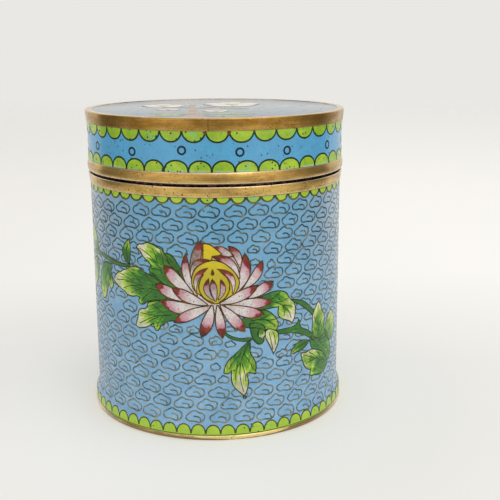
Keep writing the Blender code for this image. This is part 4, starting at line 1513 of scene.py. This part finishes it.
class CADDY_OT_back_spray(bpy.types.Operator):
    """Make the plainer spray round the back of the body"""

    bl_idname = "caddy.back_spray"
    bl_label = "Back Spray"

    def execute(self, context):
        width = context.scene.caddy_sizes.spray_wire_width / MM
        step = context.scene.caddy_sizes.inlay_step / MM
        fields = Inlay("body")
        petals = Inlay("body")
        wires = Inlay("body")
        for outline in BACK_STEMS:
            edged(fields, wires, outline, STEM_LEVEL, 0.8 * width, lambda x, y: (x, y, 0.06))
        for base, tip, breadth, bend in BACK_LEAVES:
            outline = blade(base, tip, breadth, bend, LEAF_PROFILE)
            tones = [(*base, 0.03), (*tip, 0.95), (*(Vector(base).lerp(Vector(tip), 0.5)), 0.2),
                     (*outline[2], 0.6), (*outline[-3], 0.6), (*outline[4], 0.75), (*outline[-5], 0.75)]
            edged(fields, wires, outline, BACK_LEAF_LEVEL, width, toned(tones, base, tip))
            middle = [tuple(Vector(base).lerp(Vector(tip), share)) for share in (0.05, 0.4, 0.8)]
            wires.wires([middle], BACK_LEAF_LEVEL + WIRE_RISE, 0.6 * width, False)
        hub = Vector(BACK_HUB)
        for ring, (length, breadth, level) in enumerate(((9.0, 3.4, 0), (6.0, 2.8, 2))):
            for index in range(BACK_PETALS):
                turn = 2.0 * math.pi * (index + 0.5 * ring) / BACK_PETALS
                way = Vector((math.cos(turn), BACK_SQUASH * math.sin(turn)))
                base, tip = hub + way * 1.2, hub + way * length
                proud = BACK_PETAL_LEVEL + (level + index % 2) * step
                edged(petals, wires, blade(base, tip, breadth), proud, width, along_blade(base, tip))
        heart = Inlay("body")
        edged(heart, wires, round_points(BACK_HUB, 1.9), BACK_PETAL_LEVEL + 5.0 * step, width)
        fields.finish("back_leaves", shared("Leaf enamel", leaf_material))
        petals.finish("back_petals", shared("Petal enamel", petal_material))
        heart.finish("back_heart", shared("Heart enamel", heart_material))
        wires.finish("back_wires", leaf_wire())
        return {"FINISHED"}


# Cloud scrolls in the blue ground


# Rows of clouds as (height, place of one cloud), and the number of clouds in a row
CLOUD_ROWS = [
    (63.7, -1.7), (60.1, 1.4), (56.6, -0.9), (53.0, 2.3), (49.8, -0.2), (46.4, 2.7), (42.8, -0.2),
    (39.3, 2.8), (35.8, -0.3), (32.3, 2.9), (28.4, -0.4), (24.7, -3.4), (21.0, -0.4), (17.3, -3.4),
    (13.6, -0.1), (10.0, -3.1), (6.4, 0.2),
]
CLOUDS_IN_ROW = 36
CLOUD = [
    (-2.88, -0.35), (-2.55, 0.35), (-1.85, 0.8), (-1.2, 1.25), (-0.6, 1.75), (0.2, 1.75), (0.85, 1.25),
    (1.7, 1.1), (2.45, 0.85), (2.8, 0.15), (2.65, -0.7), (2.05, -1.35), (1.4, -1.62), (0.5, -1.52),
    (-0.7, -1.34), (-1.7, -1.42), (-2.55, -1.0),
]
CLOUD_HALF_WIDTH = 2.88
CLOUD_HALF_HEIGHT = 1.75
CLOUD_HOOK = [(-0.55, -0.08), (0.6, -0.03), (1.3, -0.35), (1.62, -0.95), (1.5, -1.5)]

# Small clouds that fill the spaces between leaves and clouds, as (across, height, half width, half height)
SMALL_CLOUDS = [
    (9.8, 53.3, 1.7, 1.1), (10.2, 49.8, 1.3, 0.9), (14.9, 48.8, 1.2, 1.2), (-11.5, 31.4, 1.9, 1.1),
    (-6.7, 31.5, 1.7, 1.1), (-0.6, 28.4, 1.8, 1.3), (3.3, 27.4, 1.4, 0.9), (18.3, 23.0, 1.9, 1.1),
    (1.3, 24.7, 1.5, 1.1), (-0.7, 21.0, 1.3, 1.1), (1.4, 17.3, 1.5, 1.1), (23.3, 39.3, 2.0, 1.2),
    (-34.5, 37.6, 1.4, 1.0),
]


def cloud_centres():
    """Where the clouds stand, row by row, round the whole body."""
    seed = random.Random(3)
    half = 0.5 * AROUND_BODY
    for height, start in CLOUD_ROWS:
        for index in range(CLOUDS_IN_ROW):
            across = (start + AROUND_BODY * index / CLOUDS_IN_ROW + half) % AROUND_BODY - half
            across += 0.018 * half / math.pi * math.sin(math.pi * across / half)
            drift = 0.0006 * (height - 38.0) * BODY_RADIUS * math.sin(across / BODY_RADIUS)
            stray = 1.0 if abs(across) < 46.0 else 1.7
            across += stray * seed.uniform(-0.25, 0.25)
            yield across, height + drift + stray * seed.uniform(-0.15, 0.15), seed


def spray_outlines():
    """Outlines of all that lies over the clouds on the body."""
    outlines = [outline for _, _, outline, _, _ in LEFT_LEAVES + RIGHT_LEAVES] + STEMS
    outlines += [blade(base, tip, breadth, bend) for _, base, tip, breadth, bend, _ in PETALS]
    outlines += [HEART, HEART_CAP] + BACK_STEMS
    outlines += [blade(*leaf, LEAF_PROFILE) for leaf in BACK_LEAVES]
    outlines.append(round_points(BACK_HUB, 8.8, 20, BACK_SQUASH))
    return outlines


def covered(points, outlines):
    """Share of the points that lie under an outline, also when drawn once round."""
    count = 0
    for x, y in points:
        if any(inside((x + shift, y), outline) for outline in outlines for shift in (0.0, AROUND_BODY)):
            count += 1
    return count / len(points)


class CADDY_OT_clouds(bpy.types.Operator):
    """Lay the cloud-scroll wires in the body's blue ground"""

    bl_idname = "caddy.clouds"
    bl_label = "Cloud Wires"

    def execute(self, context):
        width = context.scene.caddy_sizes.wire_width / MM
        outlines = spray_outlines()
        loops = []
        hooks = []
        for across, height, seed in cloud_centres():
            stretch = seed.uniform(0.92, 1.02)
            rise = seed.uniform(0.90, 0.99)
            turn = seed.uniform(-0.06, 0.06)

            def drawn_at(points):
                return [(across + stretch * x - turn * y + seed.uniform(-0.09, 0.09),
                         height + rise * y + turn * x + seed.uniform(-0.08, 0.08)) for x, y in points]

            cloud = drawn_at(CLOUD)
            hook = drawn_at(CLOUD_HOOK)
            if covered(cloud + [(across, height)], outlines) < 0.7:
                if not any(abs(across - x) < w + 1.9 and abs(height - y) < h + 0.9
                           for x, y, w, h in SMALL_CLOUDS):
                    loops.append(cloud)
                    hooks.append(hook)
        for across, height, half_width, half_height in SMALL_CLOUDS:
            side = seed.choice((-1.0, 1.0))
            for points, found in ((CLOUD, loops), (CLOUD_HOOK, hooks)):
                if points is CLOUD or half_width > 1.6:
                    found.append([
                        (across + side * half_width * x / CLOUD_HALF_WIDTH + seed.uniform(-0.1, 0.1),
                         height + half_height * y / CLOUD_HALF_HEIGHT + seed.uniform(-0.06, 0.06))
                        for x, y in points])
        lines = Inlay("body")
        lines.wires(loops, CLOUD_LEVEL, width, True, 2)
        lines.wires(hooks, CLOUD_LEVEL + 0.001, width, False, 2)

        def browner_below(tree, place):
            return by_height(tree, place, 10.0, 60.0, 0.56, 0.42)

        dark = tuple(context.scene.caddy_colours.wire_dark)
        lines.finish("cloud_wires", wire_finish(
            "Cloud wire", dark, tint(140, 144, 128), 0.5, browner_below, 1.0))
        return {"FINISHED"}


# Spray on the lid's top, seen from above with the front at negative heights


TOP_BRANCHES = [
    [(-7.4, 9.6), (-7.9, 2.0), (-7.5, -10.0), (-7.2, -20.0), (-8.2, -29.0), (-9.4, -34.4), (-5.0, -35.4),
     (-1.4, -35.6), (-2.6, -29.0), (-4.0, -21.0), (-5.0, -12.0), (-5.6, -2.0), (-6.4, 9.0)],
    [(-6.4, -4.0), (-1.0, 1.0), (2.0, 6.0), (3.2, 5.2), (0.0, -0.6), (-5.8, -6.6)],
    [(-6.6, -3.0), (-11.0, 1.4), (-13.0, 3.4), (-12.2, 1.2), (-7.2, -4.6)],
]
# Blossoms as (across, height, size), and one petal along and across its own length
TOP_BLOSSOMS = [(-15.2, 5.6, 6.4), (5.2, 10.4, 8.4), (-13.2, -8.4, 3.4), (0.3, -14.2, 3.6)]
BLOSSOM_PETAL = [
    (0.12, 0.10), (0.4, 0.34), (0.7, 0.44), (0.95, 0.30), (1.0, 0.0), (0.95, -0.30), (0.7, -0.44),
    (0.4, -0.34), (0.12, -0.10),
]
# Leaves as (base, tip, width, bend)
TOP_LEAVES = [
    ((-7.2, -23.0), (-17.6, -20.6), 6.4, 0.6), ((-8.0, -27.4), (-17.0, -29.6), 5.0, -0.5),
    ((-3.2, -22.8), (10.6, -24.8), 7.0, 0.6), ((-2.4, -29.0), (9.6, -32.0), 5.4, -0.4),
    ((1.4, -2.0), (9.6, -7.2), 4.2, 0.4),
]


class CADDY_OT_top_spray(bpy.types.Operator):
    """Make the blossom spray on the lid's top"""

    bl_idname = "caddy.top_spray"
    bl_label = "Top Spray"

    def execute(self, context):
        width = context.scene.caddy_sizes.spray_wire_width / MM
        bark = Inlay("top")
        fields = Inlay("top")
        petals = Inlay("top")
        heart = Inlay("top")
        wires = Inlay("top")
        # Each branch, leaf and vein has its own height, so that none lies in another's surface
        for index, outline in enumerate(TOP_BRANCHES):
            bark.field(outline, BRANCH_LEVEL + 0.003 * index, step=None)
            wires.wires([outline], BRANCH_WIRE_LEVEL + 0.002 * index, 0.8 * width)
        for index, (base, tip, breadth, bend) in enumerate(TOP_LEAVES):
            outline = blade(base, tip, breadth, bend, LEAF_PROFILE)
            tones = [(*base, 0.0), (*tip, 0.55), (*outline[3], 0.26), (*outline[-4], 0.26)]
            proud = TOP_LEAF_LEVEL + 0.004 * (index % 2)
            edged(fields, wires, outline, proud, width, toned(tones, base, tip))
            way = Vector(tip) - Vector(base)
            left = middle_of(base, tip, bend, 0.0)[1]
            middle = [middle_of(base, tip, bend, share)[0] for share in (0.04, 0.3, 0.55, 0.84)]
            veins = [middle]
            for start, reach in ((middle[1], 0.24), (middle[2], 0.2)):
                for side in (1.0, -1.0):
                    veins.append([start, start + way * 0.16 + left * (side * reach * breadth)])
            for count, vein in enumerate(veins):
                wires.wires([vein], proud + 0.005 - 0.001 * count, 0.6 * width, False)
        for x, y, size in TOP_BLOSSOMS:
            hub = Vector((x, y))
            for index in range(5):
                turn = 2.0 * math.pi * (index + 0.3) / 5.0
                way = Vector((math.cos(turn), math.sin(turn)))
                side = Vector((-way.y, way.x))
                outline = [hub + (way * along + side * across) * size for along, across in BLOSSOM_PETAL]
                edged(petals, wires, outline, BLOSSOM_LEVEL + 0.01 * (index % 3), width)
            heart.field(round_points(hub, 0.16 * size), BLOSSOM_HEART_LEVEL)
            wires.wires([round_points(hub, 0.2 * size)], BLOSSOM_HEART_LEVEL + WIRE_RISE, width)
        bark.finish("top_branches", enamel(
            "Bark enamel", lambda tree, place: tint(112, 72, 44), tint(78, 52, 36), 0.6))
        fields.finish("top_leaves", enamel(
            "Top leaf enamel", lambda tree, place: tint(66, 128, 84), tint(112, 166, 120), 0.6))
        petals.finish("top_petals", enamel(
            "Top petal enamel", lambda tree, place: tint(240, 236, 230), tint(214, 206, 204), 0.5))
        heart.finish("top_hearts", shared("Heart enamel", heart_material))
        wires.finish("top_wires", wire_finish("Top wire", tint(158, 150, 130), tint(120, 120, 106)))
        return {"FINISHED"}


# Stage, light and camera


CAMERA_PLACE = (0.0, -0.2635, 0.1078)
CAMERA_PITCH = -13.47
CAMERA_YAW = 2.20
CAMERA_ROLL = -0.24
CAMERA_LENS = 63.96


def stage_object(name, work, material):
    """Makes a stage object, which is not part of the caddy."""
    mesh = mesh_from(work, name)
    mesh.materials.append(material)
    thing = linked(name, mesh)
    return thing


def soft_light(name, place, target, size, power, colour=(1.0, 1.0, 1.0)):
    """A rectangular area light at a place, turned to a target."""
    lamp = bpy.data.lights.new(name, "AREA")
    lamp.shape = "RECTANGLE"
    lamp.size, lamp.size_y = size
    lamp.energy = power
    lamp.color = colour
    light = linked(name, lamp)
    way = (Vector(place) - Vector(target)).normalized()
    light.matrix_world = Matrix.Translation(place) @ way.to_track_quat("Z", "Y").to_matrix().to_4x4()
    return light


def plain_world(scene, settings):
    """The plain backdrop, the even light all round and what glossy things mirror of it."""
    world = bpy.data.worlds.new("Backdrop")
    world.use_nodes = True
    tree = world.node_tree
    tree.nodes.clear()
    seen = add(tree, "ShaderNodeBackground", inputs={"Color": tuple(settings.backdrop), "Strength": 1.0})
    lit = add(tree, "ShaderNodeBackground", inputs={"Color": (1.0, 1.0, 0.99, 1.0),
                                                    "Strength": settings.sky_strength})
    mirrored = add(tree, "ShaderNodeBackground", inputs={"Color": (1.0, 0.94, 0.84, 1.0),
                                                         "Strength": 0.95})
    ray = add(tree, "ShaderNodeLightPath")
    unseen = add(tree, "ShaderNodeMixShader", inputs={
        0: ray.outputs["Is Glossy Ray"], 1: lit.outputs[0], 2: mirrored.outputs[0]})
    both = add(tree, "ShaderNodeMixShader", inputs={
        0: ray.outputs["Is Camera Ray"], 1: unseen.outputs[0], 2: seen.outputs[0]})
    add(tree, "ShaderNodeOutputWorld", inputs={"Surface": both.outputs[0]})
    scene.world = world


def paper_floor(settings):
    """A pale round floor that fades out at its edge, and glows with painted light that lifts the caddy's
    shadows.
    """
    material, tree, shader, place = start_material("Paper")
    shader.inputs["Base Color"].default_value = tuple(settings.paper)
    shader.inputs["Roughness"].default_value = 0.7
    fade = spread(tree, far_from(tree, place, (0.0, 0.0, 0.0)), 0.45, 1.45, 1.0, 0.0)
    tree.links.new(fade, shader.inputs["Alpha"])
    parts = apart(tree, place)
    # Painted light: the floor glows, less in front of the caddy and more to the right
    glow = reckon(tree, "MULTIPLY",
                  spread(tree, far_from(tree, place, (0.0, 0.15, 0.0)), 0.05, 0.9, 0.19, 0.155),
                  spread(tree, parts["Y"], 0.02, 0.14, 0.5, 1.0))
    glow = reckon(tree, "MULTIPLY", glow, spread(tree, parts["X"], -0.12, 0.12, 0.80, 1.12))
    # Painted light round the foot, most to the left, which lifts its contact shadow
    beside = far_from(tree, place, (-0.025, -0.01, 0.0))
    glow = reckon(tree, "ADD", glow, spread(tree, beside, 0.02, 0.09, 0.10, 0.0))
    tree.links.new(glow, shader.inputs["Emission Strength"])
    shader.inputs["Emission Color"].default_value = (1.0, 0.96, 0.96, 1.0)
    work = bmesh.new()
    bmesh.ops.create_circle(work, cap_ends=True, radius=1.5, segments=96)
    stage_object("floor", work, material)


def dim_room():
    """A dim wall and floor round the caddy that only its reflections show."""
    material, tree, shader, place = start_material("Dim room")
    distance = axis_distance(tree, place)
    facing = bearing(tree, place)
    edge = spread(tree, distance, 0.27, 0.33, math.radians(92.0), math.radians(113.0))
    fade = reckon(tree, "MULTIPLY", spread(tree, distance, 0.22, 0.30), spread(
        tree, facing, edge, math.radians(118.0), 1.0, 0.0))
    turn = reckon(tree, "DIVIDE", reckon(tree, "ABSOLUTE", facing), math.pi)
    shades = [(0.0, 0.48), (0.07, 0.58), (0.20, 1.10), (0.33, 0.80), (0.44, 0.42), (0.54, 0.22), (0.66, 0.24)]
    glow = ramp(tree, turn, [(share, (shade, 0.90 * shade, 0.76 * shade, 1.0)) for share, shade in shades])
    glow = scaled(tree, glow, by_height(tree, place, 0.0, 120.0, 1.0, 1.2))
    tree.links.new(glow, shader.inputs["Emission Color"])
    shader.inputs["Base Color"].default_value = (0.0, 0.0, 0.0, 1.0)
    shader.inputs["Emission Strength"].default_value = 1.0
    shader.inputs["Specular IOR Level"].default_value = 0.0
    tree.links.new(fade, shader.inputs["Alpha"])
    work = bmesh.new()
    corners = [work.verts.new(corner) for corner in ((0.22, 0.0, 0.001), (0.9, 0.0, 0.001), (0.9, 0.0, 0.9))]
    edges = [work.edges.new(pair) for pair in zip(corners, corners[1:])]
    start = Matrix.Rotation(math.radians(-208.0), 3, "Z")
    bmesh.ops.rotate(work, verts=corners, cent=(0.0, 0.0, 0.0), matrix=start)
    bmesh.ops.spin(work, geom=corners + edges, cent=(0.0, 0.0, 0.0), axis=(0.0, 0.0, 1.0),
                   dvec=(0.0, 0.0, 0.0), angle=math.radians(236.0), steps=60)
    room = stage_object("dim_room", work, material)
    room.visible_camera = False
    room.visible_diffuse = False
    room.visible_shadow = False
    room.visible_transmission = False
    room.visible_volume_scatter = False


def camera_view(scene):
    """Places the camera and makes it the scene's own."""
    eye = bpy.data.cameras.new("camera")
    eye.lens = CAMERA_LENS
    eye.sensor_width = 36.0
    eye.clip_start = 0.01
    camera = linked("camera", eye)
    pitch, yaw, roll = (math.radians(value) for value in (CAMERA_PITCH, CAMERA_YAW, CAMERA_ROLL))
    ahead = Vector((math.sin(yaw) * math.cos(pitch), math.cos(yaw) * math.cos(pitch), math.sin(pitch)))
    right = ahead.cross(Vector((0.0, 0.0, 1.0))).normalized()
    up = right.cross(ahead)
    level_right = right * math.cos(roll) + up * math.sin(roll)
    level_up = up * math.cos(roll) - right * math.sin(roll)
    turn = Matrix((level_right, level_up, -ahead)).transposed()
    camera.matrix_world = Matrix.Translation(CAMERA_PLACE) @ turn.to_4x4()
    scene.camera = camera


class CADDY_OT_stage(bpy.types.Operator):
    """Make the plain floor, the soft light and the camera"""

    bl_idname = "caddy.stage"
    bl_label = "Stage"

    def execute(self, context):
        scene = context.scene
        settings = scene.caddy_stage
        scene.view_settings.view_transform = "Standard"
        plain_world(scene, settings)
        paper_floor(settings)
        dim_room()
        soft_light("key_light", (0.35, -0.25, 1.0), (0.0, 0.0, 0.04), (0.9, 0.9), settings.key_power,
                   (1.0, 0.99, 0.97))
        soft_light("front_light", (0.12, -0.75, 0.42), (0.0, 0.0, 0.03), (0.7, 0.22), settings.front_power)
        camera_view(scene)
        return {"FINISHED"}


class CADDY_PT_panel(bpy.types.Panel):
    """Lists the caddy's settings and the steps that make it"""

    bl_idname = "CADDY_PT_panel"
    bl_label = "Tea Caddy"
    bl_space_type = "VIEW_3D"
    bl_region_type = "UI"
    bl_category = "Tea Caddy"

    def draw(self, context):
        layout = self.layout
        for settings in (context.scene.caddy_sizes, context.scene.caddy_colours, context.scene.caddy_stage):
            column = layout.column(align=True)
            for name in settings.__annotations__:
                column.prop(settings, name)
        column = layout.column(align=True)
        for step in STEPS:
            column.operator(step.bl_idname)


STEPS = (
    CADDY_OT_stage,
    CADDY_OT_inner_metal,
    CADDY_OT_rings,
    CADDY_OT_coats,
    CADDY_OT_scallops,
    CADDY_OT_lid_circles,
    CADDY_OT_flower,
    CADDY_OT_leaves,
    CADDY_OT_back_spray,
    CADDY_OT_clouds,
    CADDY_OT_top_spray,
)
SETTINGS = (("caddy_sizes", CaddySizes), ("caddy_colours", CaddyColours), ("caddy_stage", StageSettings))


def register():
    """Registers the settings, the steps and the panel."""
    for name, group in SETTINGS:
        bpy.utils.register_class(group)
        setattr(bpy.types.Scene, name, bpy.props.PointerProperty(type=group))
    for step in STEPS:
        bpy.utils.register_class(step)
    bpy.utils.register_class(CADDY_PT_panel)


def unregister():
    """Takes the settings, the steps and the panel out again."""
    bpy.utils.unregister_class(CADDY_PT_panel)
    for step in reversed(STEPS):
        bpy.utils.unregister_class(step)
    for name, group in reversed(SETTINGS):
        delattr(bpy.types.Scene, name)
        bpy.utils.unregister_class(group)


def main():
    """Makes the whole caddy and its stage."""
    register()
    for step in STEPS:
        family, _, action = step.bl_idname.partition(".")
        getattr(getattr(bpy.ops, family), action)()


if __name__ == "__main__":
    main()
